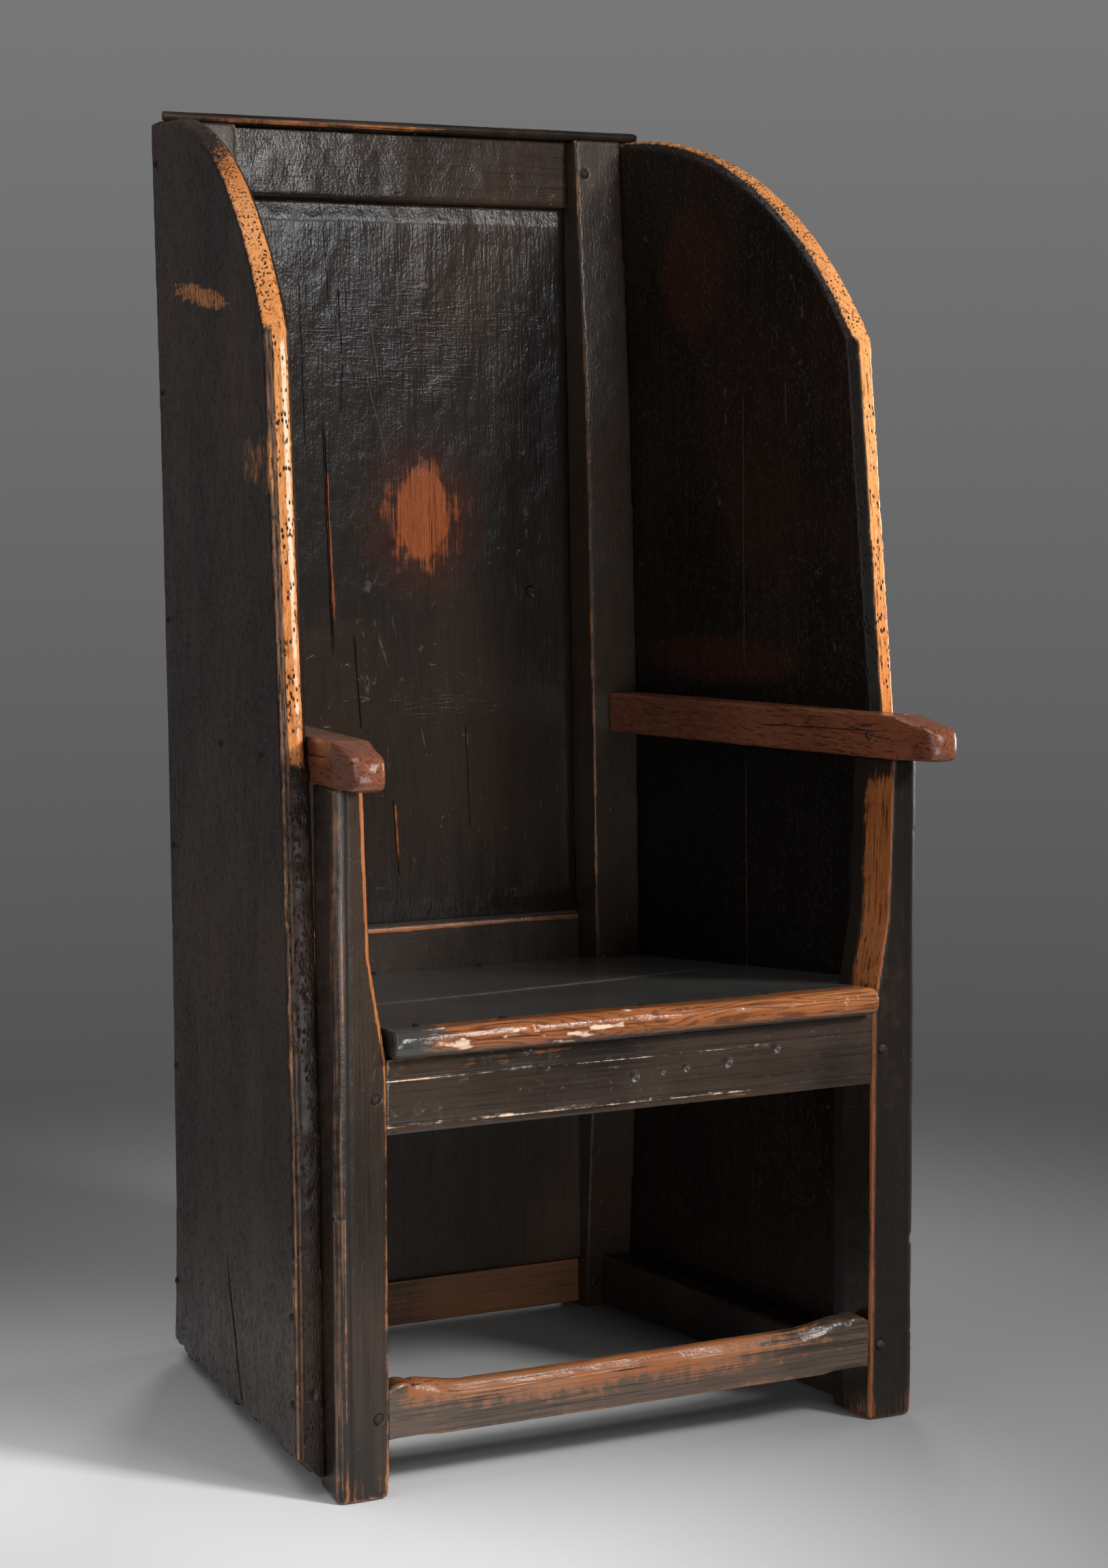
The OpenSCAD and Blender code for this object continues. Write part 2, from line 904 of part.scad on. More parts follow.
// Waste of the bevel at one end of the field
module panel_end_bevel(low) {
    translate([0, 0, low ? 0 : back_len])
        mirror([0, 0, low ? 1 : 0])
            translate([-half_w, 0, 0])
                side_plate(front_w)
                    polygon([
                        [panel_front - cut, -bevel_end], [panel_front, -bevel_end],
                        [panel_edge, 0], [panel_edge, 2 * panel_tongue],
                        [panel_front - cut, 2 * panel_tongue]
                    ]);
}

// Waste of the bevel along the right side of the field
module panel_side_bevel() {
    translate([0, 0, -2 * panel_tongue])
        linear_extrude(back_len + 4 * panel_tongue)
            polygon([
                [back_inner - bevel_side, panel_front - cut], [back_inner - bevel_side, panel_front],
                [back_inner, panel_edge], [half_w, panel_edge], [half_w, panel_front - cut]
            ]);
}

module back_seat_rail() {
    wear = back_seat_rail_wear;
    color(old_oak)
    placed()
    difference() {
        union() {
            intersection() {
                on_back()
                    translate([-half_w, 0, 0])
                        side_plate(front_w)
                            polygon([
                                [0, -back_seat_rail_h], [0, -wear], [wear * 0.7, 0],
                                [back_rail_t, 0], [back_rail_t, -back_seat_rail_h]
                            ]);
                between_stiles();
            }
            back_seat_rail_tenons();
        }
        panel_groove();
        low_panel_groove();
        frame_pegs_right(peg_gap);
        mirror([1, 0, 0])
            frame_pegs_right(peg_gap);
    }
}

module lower_back_panel() {
    color(old_oak)
    placed()
    intersection() {
        wide_block(
            half_w, low_panel_y, low_panel_y + low_panel_t,
            foot_rail_top - panel_tongue, rail_bottom_z + panel_tongue
        );
        between_stiles(-panel_tongue + joint_gap);
    }
}

module back_foot_rail() {
    color(old_oak)
    placed()
    difference() {
        union() {
            intersection() {
                wide_block(half_w, foot_rail_y, foot_rail_y + foot_rail_t, foot_clear, foot_rail_top);
                between_stiles();
            }
            foot_rail_tenons();
        }
        low_panel_groove();
        frame_pegs_right(peg_gap);
        mirror([1, 0, 0])
            frame_pegs_right(peg_gap);
    }
}

module front_seat_rail() {
    back = rail_set_back + rail_t;
    color(old_oak)
    placed()
    difference() {
        union() {
            intersection() {
                wide_block(half_w, rail_set_back, back, rail_z, seat_level);
                between_posts();
            }
            seat_rail_tenons();
        }
        on_seat_waste();
        for (z = [rail_z + rail_scratch_in / 2, seat_level - rail_scratch_in]) {
            wide_block(half_w, rail_set_back - cut, rail_set_back + scratch_depth, z, z + scratch_w);
        }
        frame_pegs_right(peg_gap);
        mirror([1, 0, 0])
            frame_pegs_right(peg_gap);
        at_front_seat_nails()
            nail_hole();
    }
}

// Space above the underside of the seat boards
module on_seat_waste() {
    on_seat()
        wide_block(half_w, -2 * past, deep, 0, seat_t * 2);
}

module front_stretcher() {
    front = rail_set_back;
    back = front + stretcher_t;
    top = stretcher_z + stretcher_h;
    worn = half_w - post_w - stretcher_end;
    line_z = top - stretcher_h / 2;
    color(old_oak)
    placed()
    difference() {
        union() {
            intersection() {
                wide_block(half_w, front, back, stretcher_z, top);
                between_posts();
            }
            stretcher_tenons();
        }
        // Edge worn away by feet, all along between the two ends
        translate([-worn, 0, 0])
            side_plate(2 * worn)
                polygon([
                    [front - cut, top - stretcher_wear], [front, top - stretcher_wear],
                    [front + stretcher_t * 0.3, top - stretcher_wear * 0.45],
                    [front + stretcher_t * 0.6, top - stretcher_wear * 0.45],
                    [back + cut, top - stretcher_wear * 0.7],
                    [back + cut, top + cut], [front - cut, top + cut]
                ]);
        wide_block(half_w, front - cut, front + scratch_depth, line_z, line_z + scratch_w);
        frame_pegs_right(peg_gap);
        mirror([1, 0, 0])
            frame_pegs_right(peg_gap);
    }
}

// Keeps what lies between the back of the posts and the front of the stiles
module between_legs() {
    difference() {
        intersection() {
            children(0);
            wide_block(big, post_d, big, -past, big);
        }
        behind_stiles();
    }
}

module side_stretcher(right) {
    color(old_oak)
    placed()
    handed(right)
    union() {
        between_legs()
            on_side()
                translate([side_stretcher_mid - side_stretcher_t / 2, 0, foot_clear])
                    cube([side_stretcher_t, big / 2, side_stretcher_h]);
        side_stretcher_tenons();
    }
}

module side_seat_rail(right) {
    color(old_oak)
    placed()
    handed(right)
    union() {
        difference() {
            between_legs()
                on_side()
                    translate([-bearer_in - bearer_t, 0, 0])
                        side_plate(bearer_t)
                            polygon([
                                [0, seat_level + cut], [0, seat_level - bearer_h],
                                [seat_depth, bearer_high - bearer_h],
                                [deep, bearer_high - bearer_h], [deep, seat_level + cut]
                            ]);
            on_seat_waste();
        }
        bearer_tenons();
    }
}

module seat_batten() {
    low = bearer_high - back_low_z;
    color(old_oak)
    placed()
    difference() {
        intersection() {
            on_back()
                wide_block(half_w, -batten_t, 0, low - batten_h, low + past);
            between_stiles(joint_gap);
        }
        on_seat_waste();
        at_rear_seat_nails()
            nail_hole();
    }
}

// Outline of the whole seat seen from above, cut round the posts and the stiles
module seat_plan() {
    g = seat_gap;
    nose = -2 * seat_nose;
    y1 = post_d + g;
    y2 = seat_depth - g;
    points = [
        [side_x(0) - post_w - g, nose], [side_x(y1) - post_w - g, y1],
        [side_x(y1) - g, y1], [side_x(y2) - g, y2],
        [side_x(y2) - stile_w - g, y2], [side_x(deep) - stile_w - g, deep]
    ];
    linear_extrude(overall_h)
        polygon(concat(points, [for (i = [5:-1:0]) [-points[i][0], points[i][1]]]));
}

// The seat's boards as one slab with a rounded front edge
module seat_slab() {
    r = seat_t / 2;
    nose = -seat_nose - rail_set_back;
    intersection() {
        on_seat() {
            wide_block(half_w, nose + r, deep, 0, seat_t);
            translate([-half_w, nose + r, r])
                rotate([0, 90, 0])
                    cylinder(h = front_w, r = r);
        }
        seat_plan();
    }
}

// Everything in front of the joint between the boards, or behind it
module seat_half(front) {
    y0 = front ? -big : big;
    gap = front ? -seat_gap / 4 : seat_gap / 4;
    left = seat_joint_y - seat_joint_skew * half_w + gap;
    right = seat_joint_y + seat_joint_skew * half_w + gap;
    linear_extrude(overall_h)
        polygon([[-half_w, y0], [-half_w, left], [half_w, right], [half_w, y0]]);
}

module seat_board_front() {
    color(worn_oak)
    placed()
    difference() {
        intersection() {
            seat_slab();
            seat_half(true);
        }
        at_front_seat_nails()
            nail_hole();
    }
}

module seat_board_rear() {
    color(old_oak)
    placed()
    difference() {
        intersection() {
            seat_slab();
            seat_half(false);
        }
        // Space taken by the rail behind the seat
        on_back()
            wide_block(half_w, -seat_gap, back_rail_t * 4, -back_seat_rail_h * 2, back_len);
        at_rear_seat_nails()
            nail_hole();
    }
}

module both_sides() {
    children();
    mirror([1, 0, 0])
        children();
}

module frame_pegs() {
    color(old_oak)
    placed()
    both_sides()
        frame_pegs_right();
}

module arm_pegs() {
    color(old_oak)
    placed()
    both_sides()
        arm_peg_right();
}

module wing_nails() {
    color(iron)
    placed()
    both_sides()
        at_wing_nails()
            nail();
}

module cap_nails() {
    color(iron)
    placed()
    at_cap_nails()
        nail();
}

module seat_nails() {
    color(iron)
    placed() {
        at_front_seat_nails()
            nail();
        at_rear_seat_nails()
            nail();
    }
}

front_post(false);  // front_post_left
front_post(true);  // front_post_right
rear_stile(false);  // rear_stile_left
rear_stile(true);  // rear_stile_right
wing_board(false);  // wing_board_left
wing_board(true);  // wing_board_right
arm(false);  // arm_left
arm(true);  // arm_right
cap_board();
top_rail();
back_panel();
back_seat_rail();
lower_back_panel();
back_foot_rail();
front_seat_rail();
front_stretcher();
side_stretcher(false);  // side_stretcher_left
side_stretcher(true);  // side_stretcher_right
side_seat_rail(false);  // side_seat_rail_left
side_seat_rail(true);  // side_seat_rail_right
seat_batten();
seat_board_front();
seat_board_rear();
frame_pegs();
arm_pegs();
wing_nails();
cap_nails();
seat_nails();
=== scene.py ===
"""Boarded wing armchair: worn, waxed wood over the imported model, and a plain studio."""
import functools
import math

import bmesh
import bpy
import numpy as np
from bpy.props import FloatProperty, FloatVectorProperty, IntProperty, PointerProperty
from mathutils import Matrix, Vector


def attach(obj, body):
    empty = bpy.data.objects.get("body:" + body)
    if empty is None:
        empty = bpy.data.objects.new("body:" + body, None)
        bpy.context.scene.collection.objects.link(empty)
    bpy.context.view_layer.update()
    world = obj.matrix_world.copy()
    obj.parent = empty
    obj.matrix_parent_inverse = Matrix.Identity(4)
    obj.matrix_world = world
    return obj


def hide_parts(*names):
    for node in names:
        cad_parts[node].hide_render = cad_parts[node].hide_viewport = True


bl_info = {
    "name": "Boarded wing armchair",
    "version": (1, 0, 0),
    "blender": (4, 5, 0),
    "location": "View3D > Sidebar > Armchair",
    "description": "Dresses a boarded wing armchair in worn, waxed wood",
    "category": "Object",
}

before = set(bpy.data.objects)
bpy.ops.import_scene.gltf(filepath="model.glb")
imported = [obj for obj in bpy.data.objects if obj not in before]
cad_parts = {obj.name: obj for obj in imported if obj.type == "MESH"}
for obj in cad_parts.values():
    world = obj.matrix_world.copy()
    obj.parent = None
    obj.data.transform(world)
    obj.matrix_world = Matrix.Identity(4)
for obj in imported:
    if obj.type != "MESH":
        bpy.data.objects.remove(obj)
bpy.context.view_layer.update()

# Sizes of the chair, in millimetres unless said otherwise
MM = 0.001
FRONT_LINE = -0.24291546825663835  # front of the posts, in metres
SPLAY = math.radians(6.5)  # turn of the wing boards
SEAT_SLOPE = math.radians(4.24)
BACK_TILT = math.radians(1.64)
BACK_FOOT = (489.84, 431.0)  # Y and Z of the panel's lower end
PANEL_EDGE = 10.0  # front of the panel's thin edge
BOARD_FOOT = 297.0  # X of the boards' inner face at the front line
SEAT_Z = 391.0
BOARD_FRONT = ((5.0, 324.0, 629.0, 1022.0), (40.0, 46.0, 65.0, 109.0))  # Z and Y of the edge
SHOULDER_Z = 1022.0
CURVE_CENTRE = (501.0, 774.0)
CURVE_R = 464.0
BOARD_LINES = (21.8, 18.4)  # scratched lines beside the outer arris of a board
SPLIT = (0.403, 223.6)  # lean and foot of the split in the left board
RAIL_LINES = (334.0, 374.0)  # scratched lines of the front rail
RAIL_DENTS = ((-5, 355, 5.5), (24, 356, 2.4), (48, 358, 3.7), (91, 360, 6.2), (143, 368, 5.0))
FINE_CELL = 1.5  # mesh cell of pieces with small shapes
COARSE_CELL = 2.2  # mesh cell of plain pieces
TINY = 0.00002  # points closer than this are joined, in metres
END_SLICE = 0.0004  # points this near to a solid's end belong to the end, in metres

# The photograph's camera
PHOTO_HEIGHT = 2296
CAMERA_FOCUS = 4576.1  # focal length in pixels of the photograph
CAMERA_PLACE = (-1.3013, -2.6931, 0.9065)
CAMERA_TURN = (26.39, -5.91, -0.16)  # yaw to the right, pitch and roll, in degrees

# Place, aim, width, height and spread of each lamp, in metres and degrees
LAMPS = {
    "key": ((1.46, -2.40, 2.02), (-0.15, -0.1, 0.55), 0.42, 0.42, 80),
    "sheen": ((0.74, -2.80, 1.80), (-0.10, 0.1, 0.70), 0.5, 0.5, 90),
    "glint": ((1.25, -2.60, 2.90), (0.0, -0.2, 0.45), 0.5, 0.3, 60),
    "rear": ((1.55, 3.0, 1.0), (0.0, 0.3, 0.75), 0.8, 1.2, 70),
    "side": ((3.1, 0.35, 0.95), (0.3, 0.0, 0.75), 1.2, 1.2, 70),
    "low": ((-0.55, -1.75, 0.30), (0.05, 0.2, 0.22), 1.2, 0.4, 120),
    "fill": ((-2.7, -1.3, 1.4), (0, 0, 0.7), 1.8, 2.2, 180),
    "top": ((-1.3, 0.2, 3.3), (-0.7, -0.2, 0), 2.0, 2.0, 180),
}

# Colours that stay as they are
# Light brown of scuffed wood, which the marks also use to paint glints
TAN_AND_GLINT = (0.185, 0.100, 0.058, 1.0)
# Painted highlight of round polished edges and of glints
PAINTED_HIGHLIGHT = (0.98, 0.74, 0.55, 1.0)
PIT = (0.006, 0.004, 0.003, 1.0)
SPECK = (0.20, 0.145, 0.11, 1.0)
RUST = (0.03, 0.015, 0.010, 1.0)
AIR_LIGHT = (0.09, 0.09, 0.092, 1.0)
SPOT_KINDS = {  # share, colour and depth of each kind of mark; None is a darker patina
    "crack": (0.95, (0.003, 0.002, 0.002, 1.0), 1.2),
    "gouge": (0.5, None, 2.4),
    "score": (0.55, (0.16, 0.125, 0.10, 1.0), 0.5),
    "glow": (0.4, (0.060, 0.014, 0.007, 1.0), 0.0),
}


# Places of the pieces: each matrix leads from a piece's own millimetre frame to the row frame

def row_place():
    """Frame of the upright pieces: Y 0 at the front of the posts."""
    return Matrix.Translation((0, FRONT_LINE, 0))


def side_place(right):
    """Frame of a wing board: X outwards from its inner face, Y to the back along the board."""
    place = (row_place() @ Matrix.Translation((BOARD_FOOT * MM, 0, 0))
             @ Matrix.Rotation(SPLAY, 4, "Z"))
    return place if right else Matrix.Scale(-1, 4, (1, 0, 0)) @ place


def seat_place():
    """Frame of the seat, which falls to the back."""
    return (row_place() @ Matrix.Translation((0, 2 * MM, SEAT_Z * MM))
            @ Matrix.Rotation(-SEAT_SLOPE, 4, "X"))


def back_place():
    """Frame of the raked back: Z up along the panel."""
    return (row_place() @ Matrix.Translation((0, BACK_FOOT[0] * MM, BACK_FOOT[1] * MM))
            @ Matrix.Rotation(-BACK_TILT, 4, "X"))


# Sums over all points of a mesh

def ramp(value, low, high):
    """0 up to low, 1 from high on, smooth between; runs the other way if low is above high."""
    share = np.clip((value - low) / (high - low), 0.0, 1.0)
    return share * share * (3.0 - 2.0 * share)


def cloud(points, size, seed):
    """Smooth random field from -1 to 1 over points, with cells of the given size or sizes."""
    where = points / np.asarray(size, float)
    cell = np.floor(where).astype(np.int64)
    part = where - cell
    part = part * part * (3.0 - 2.0 * part)

    def corner(dx, dy, dz):
        mixed = ((cell[:, 0] + dx) * 73856093 ^ (cell[:, 1] + dy) * 19349663
                 ^ (cell[:, 2] + dz) * 83492791 ^ seed * 2654435761)
        mixed = ((mixed ^ (mixed >> 13)) * 1274126177) & 0x7FFFFFFF
        return ((mixed ^ (mixed >> 16)) & 0xFFFF) / 32767.5 - 1.0

    total = 0.0
    for dx in (0, 1):
        for dy in (0, 1):
            for dz in (0, 1):
                weight = (np.where(dx, part[:, 0], 1 - part[:, 0])
                          * np.where(dy, part[:, 1], 1 - part[:, 1])
                          * np.where(dz, part[:, 2], 1 - part[:, 2]))
                total = total + weight * corner(dx, dy, dz)
    return total


def clouds(points, size, seed, layers=3):
    """Sum of finer and finer fields, from about -1 to 1."""
    total = 0.0
    for k in range(layers):
        total = total + cloud(points, np.asarray(size, float) / 2 ** k, seed + k) / 2 ** k
    return total / 1.5


def points_of(mesh):
    points = np.empty(len(mesh.vertices) * 3, np.float32)
    mesh.vertices.foreach_get("co", points)
    return points.reshape(-1, 3).astype(float)


def set_points(mesh, points):
    mesh.vertices.foreach_set("co", points.astype(np.float32).ravel())
    mesh.update()


def normals_of(mesh):
    normals = np.empty(len(mesh.vertices) * 3, np.float32)
    mesh.vertex_normals.foreach_get("vector", normals)
    return normals.reshape(-1, 3).astype(float)


def softened(points, pairs, times):
    """Each point moves half way to the middle of its neighbours, a few times."""
    both = np.concatenate([pairs[:, 0], pairs[:, 1]])
    other = np.concatenate([pairs[:, 1], pairs[:, 0]])
    count = np.bincount(both, minlength=len(points))
    for _ in range(times):
        middle = np.stack([
            np.bincount(both, weights=points[other, axis], minlength=len(points)) / count
            for axis in range(3)
        ], axis=1)
        points = 0.5 * (points + middle)
    return points


def baked(obj):
    """The mesh of an object with its modifiers, which are then removed."""
    bpy.context.view_layer.update()
    seen = obj.evaluated_get(bpy.context.evaluated_depsgraph_get())
    mesh = bpy.data.meshes.new_from_object(seen)
    obj.modifiers.clear()
    old = obj.data
    obj.data = mesh
    bpy.data.meshes.remove(old)
    return mesh


def note(mesh, name, values):
    """Stores one number per point, for the wood's material."""
    field = mesh.attributes.get(name) or mesh.attributes.new(name, "FLOAT", "POINT")
    field.data.foreach_set("value", np.asarray(values, np.float32))


def settle(obj, nodes):
    """Rides on the chair's one body and stands for its CAD nodes."""
    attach(obj, "root")
    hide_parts(*nodes)
    obj.data.shade_smooth()


def solid_copy(node, name):
    """A copy of a CAD node's mesh with its loose triangles joined."""
    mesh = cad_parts[node].data.copy()
    obj = bpy.data.objects.new(name, mesh)
    bpy.context.scene.collection.objects.link(obj)
    work = bmesh.new()
    work.from_mesh(mesh)
    bmesh.ops.remove_doubles(work, verts=work.verts, dist=TINY)
    work.to_mesh(mesh)
    work.free()
    mesh.materials.clear()
    return obj


def turned(mesh, matrix):
    mesh.transform(matrix)
    if matrix.determinant() < 0:
        mesh.flip_normals()


def worn_piece(node, finish, place, cell, keep=0.5, shape=None, marks=None, melt=None):
    """A worn copy of a CAD node: even cells, softened arrises, a slightly uneven surface,
    the piece's own damage, and one number per point for each kind of wear, painted shade and
    painted highlight."""
    w = wear()
    obj = solid_copy(node, f"worn_{node}")
    turned(obj.data, place.inverted())
    cells = obj.modifiers.new("even cells", "REMESH")
    cells.mode = "VOXEL"
    cells.voxel_size = cell * MM
    mesh = baked(obj)
    points = points_of(mesh) / MM
    pairs = np.empty(len(mesh.edges) * 2, np.int32)
    mesh.edges.foreach_get("vertices", pairs)
    pairs = pairs.reshape(-1, 2)
    soft = softened(points, pairs, w.soften)
    set_points(mesh, soft * MM)
    normals = normals_of(mesh)
    arris = np.clip(((points - soft) * normals).sum(1) / (0.30 * cell), -1, 1)
    arris = softened(np.repeat(arris[:, None], 3, axis=1), pairs, 2)[:, 0]
    ridge, corner = np.clip(arris, 0, 1), np.clip(-arris, 0, 1)
    lift = w.heave * (0.6 * cloud(soft, 95.0, w.seed) + 0.4 * cloud(soft, 28.0, w.seed + 7))
    lift = lift + 0.25 * w.heave * cloud(soft, 9.0, w.seed + 13)
    moved = soft + normals * lift[:, None]
    if shape:
        moved = shape(moved, normals)
    if melt:
        region, times = melt
        share = region(moved)[:, None]
        for _ in range(times):
            moved = moved + share * (softened(moved, pairs, 1) - moved)
    set_points(mesh, moved * MM)
    told = marks(moved, normals, ridge) if marks else {}
    note(mesh, "arris", ridge)
    note(mesh, "bare", told.get("bare", np.zeros(len(moved))))
    # Concave corners are grimy; the marks add painted shade to the same number
    note(mesh, "grime", np.maximum(corner, told.get("grime", 0.0)))
    for name in ("tan", "lustre"):
        if name in told:
            note(mesh, name, told[name])
    obj.modifiers.new("fewer faces", "DECIMATE").ratio = keep
    mesh = baked(obj)
    turned(mesh, place)
    mesh.materials.append(finish)
    settle(obj, [node])


# Material maths

def add_node(tree, kind, settings=None, sockets=None):
    """A new node; sockets gives its inputs, by name or number, a source or a plain value."""
    made = tree.nodes.new(kind)
    for name, value in (settings or {}).items():
        setattr(made, name, value)
    for name, value in (sockets or {}).items():
        value = value.socket if isinstance(value, Value) else value
        if isinstance(value, bpy.types.NodeSocket):
            tree.links.new(value, made.inputs[name])
        else:
            made.inputs[name].default_value = value
    return made


class Value:
    """One output of a material's node; sums on values add Math nodes."""

    def __init__(self, finish, socket):
        self.finish = finish
        self.socket = socket

    def maths(self, kind, *values):
        sockets = dict(enumerate(values))
        return self.finish.node("ShaderNodeMath", {"operation": kind}, sockets)

    def __add__(self, other):
        return self.maths("ADD", self, other)

    def __sub__(self, other):
        return self.maths("SUBTRACT", self, other)

    def __mul__(self, other):
        return self.maths("MULTIPLY", self, other)

    def __truediv__(self, other):
        return self.maths("DIVIDE", self, other)

    def __rsub__(self, other):
        return self.maths("SUBTRACT", other, self)

    def __abs__(self):
        return self.maths("ABSOLUTE", self)

    def most(self, other):
        return self.maths("MAXIMUM", self, other)

    def step(self, low, high):
        """0 at low, 1 at high, smooth between."""
        return self.finish.node("ShaderNodeMapRange", {"interpolation_type": "SMOOTHSTEP"},
                                {0: self, 1: low, 2: high, 3: 0.0, 4: 1.0})


class Finish:
    """A material built from nodes."""

    def __init__(self, name):
        self.material = bpy.data.materials.new(name)
        self.material.use_nodes = True
        self.tree = self.material.node_tree
        self.tree.nodes.clear()
        self.place = self.node("ShaderNodeTexCoord", output="Object")
        split = self.node("ShaderNodeSeparateXYZ", sockets={0: self.place}).socket.node
        self.x, self.y, self.z = (Value(self, out) for out in split.outputs)

    def node(self, kind, settings=None, sockets=None, output=0):
        made = add_node(self.tree, kind, settings, sockets)
        return Value(self, made.outputs[output]) if len(made.outputs) else None

    def noted(self, name):
        return self.node("ShaderNodeAttribute", {"attribute_name": name}, output="Fac")

    def stretched(self, scale, shift=0.0):
        return self.node("ShaderNodeMapping", sockets={
            "Vector": self.place, "Location": (shift, 1.7 * shift, 0.6 * shift), "Scale": scale})

    def noise(self, scale, detail=2.0, shift=0.0, roughness=0.5, warp=0.0):
        return self.node("ShaderNodeTexNoise", sockets={
            "Vector": self.stretched(scale, shift), "Scale": 1.0, "Detail": detail,
            "Roughness": roughness, "Distortion": warp})

    def dots(self, scale, shift=0.0):
        return self.node("ShaderNodeTexVoronoi", sockets={
            "Vector": self.stretched(scale, shift), "Scale": 1.0}, output="Distance")

    def mix(self, share, one, two):
        return self.node("ShaderNodeMix", {"data_type": "RGBA"}, {0: share, 6: one, 7: two}, 2)

    def close(self, colour, rough, height, depth, **uniform):
        """Ends in a plain shader; uniform values go straight on its sockets."""
        normal = self.node("ShaderNodeBump", sockets={
            "Strength": 1.0, "Distance": depth, "Height": height}, output="Normal")
        sockets = {"Base Color": colour, "Roughness": rough, "Normal": normal}
        for name, value in uniform.items():
            sockets[name.replace("_", " ").title().replace("Ior", "IOR")] = value
        shader = self.node("ShaderNodeBsdfPrincipled", sockets=sockets)
        self.node("ShaderNodeOutputMaterial", sockets={"Surface": shader})
        return self.material


def tone(colour, strength=1.0):
    """A colour with its alpha, made lighter or darker."""
    return (*(strength * part for part in colour[:3]), 1.0)


def root(value):
    return value.maths("SQRT", value)


def shaded(colour, strength):
    return [strength * part for part in colour]


def along_grain(axis, across, along):
    """Scale of a pattern that is drawn out along one axis, in cells per metre."""
    return tuple(along if name == axis else across for name in "XYZ")


def scar(finish, long_axis, cross_axis, start, end, width, wobble=0.0012):
    """A fine crack or scratched line from start to end, both (cross, long) in millimetres."""
    (c0, l0), (c1, l1) = [(a * MM, b * MM) for a, b in (start, end)]
    lean = (c1 - c0) / (l1 - l0)
    length = getattr(finish, long_axis.lower())
    wander = (finish.noise(along_grain(long_axis, 4.0, 45.0), 2.0, c0 * 90) - 0.5) * (2 * wobble)
    away = abs(getattr(finish, cross_axis) - length * lean - (c0 - lean * l0) + wander)
    fade = 0.12 * abs(l1 - l0)
    low, high = min(l0, l1), max(l0, l1)
    inside = length.step(low, low + fade) * (1.0 - length.step(high - fade, high))
    return (1.0 - away.step(0.3 * width * MM, width * MM)) * inside


def scars(finish, long_axis, cross_axis, lines):
    """The strongest of several scars at each place."""
    return functools.reduce(Value.most, [scar(finish, long_axis, cross_axis, *line)
                                         for line in lines])


def patch(finish, centre, radii, ragged=0.5, shift=0.0):
    """A soft spot around a centre in millimetres; it fills the axes with no radius."""
    total = None
    for axis, middle, radius in zip("xyz", centre, radii):
        if radius is None:
            continue
        part = (getattr(finish, axis) - middle * MM) / (radius * MM)
        total = part * part if total is None else total + part * part
    total = total + (finish.noise((55.0, 55.0, 24.0), 3.0, 3.1 + shift) - 0.5) * (2.4 * ragged)
    return 1.0 - total.step(0.25, 1.25)


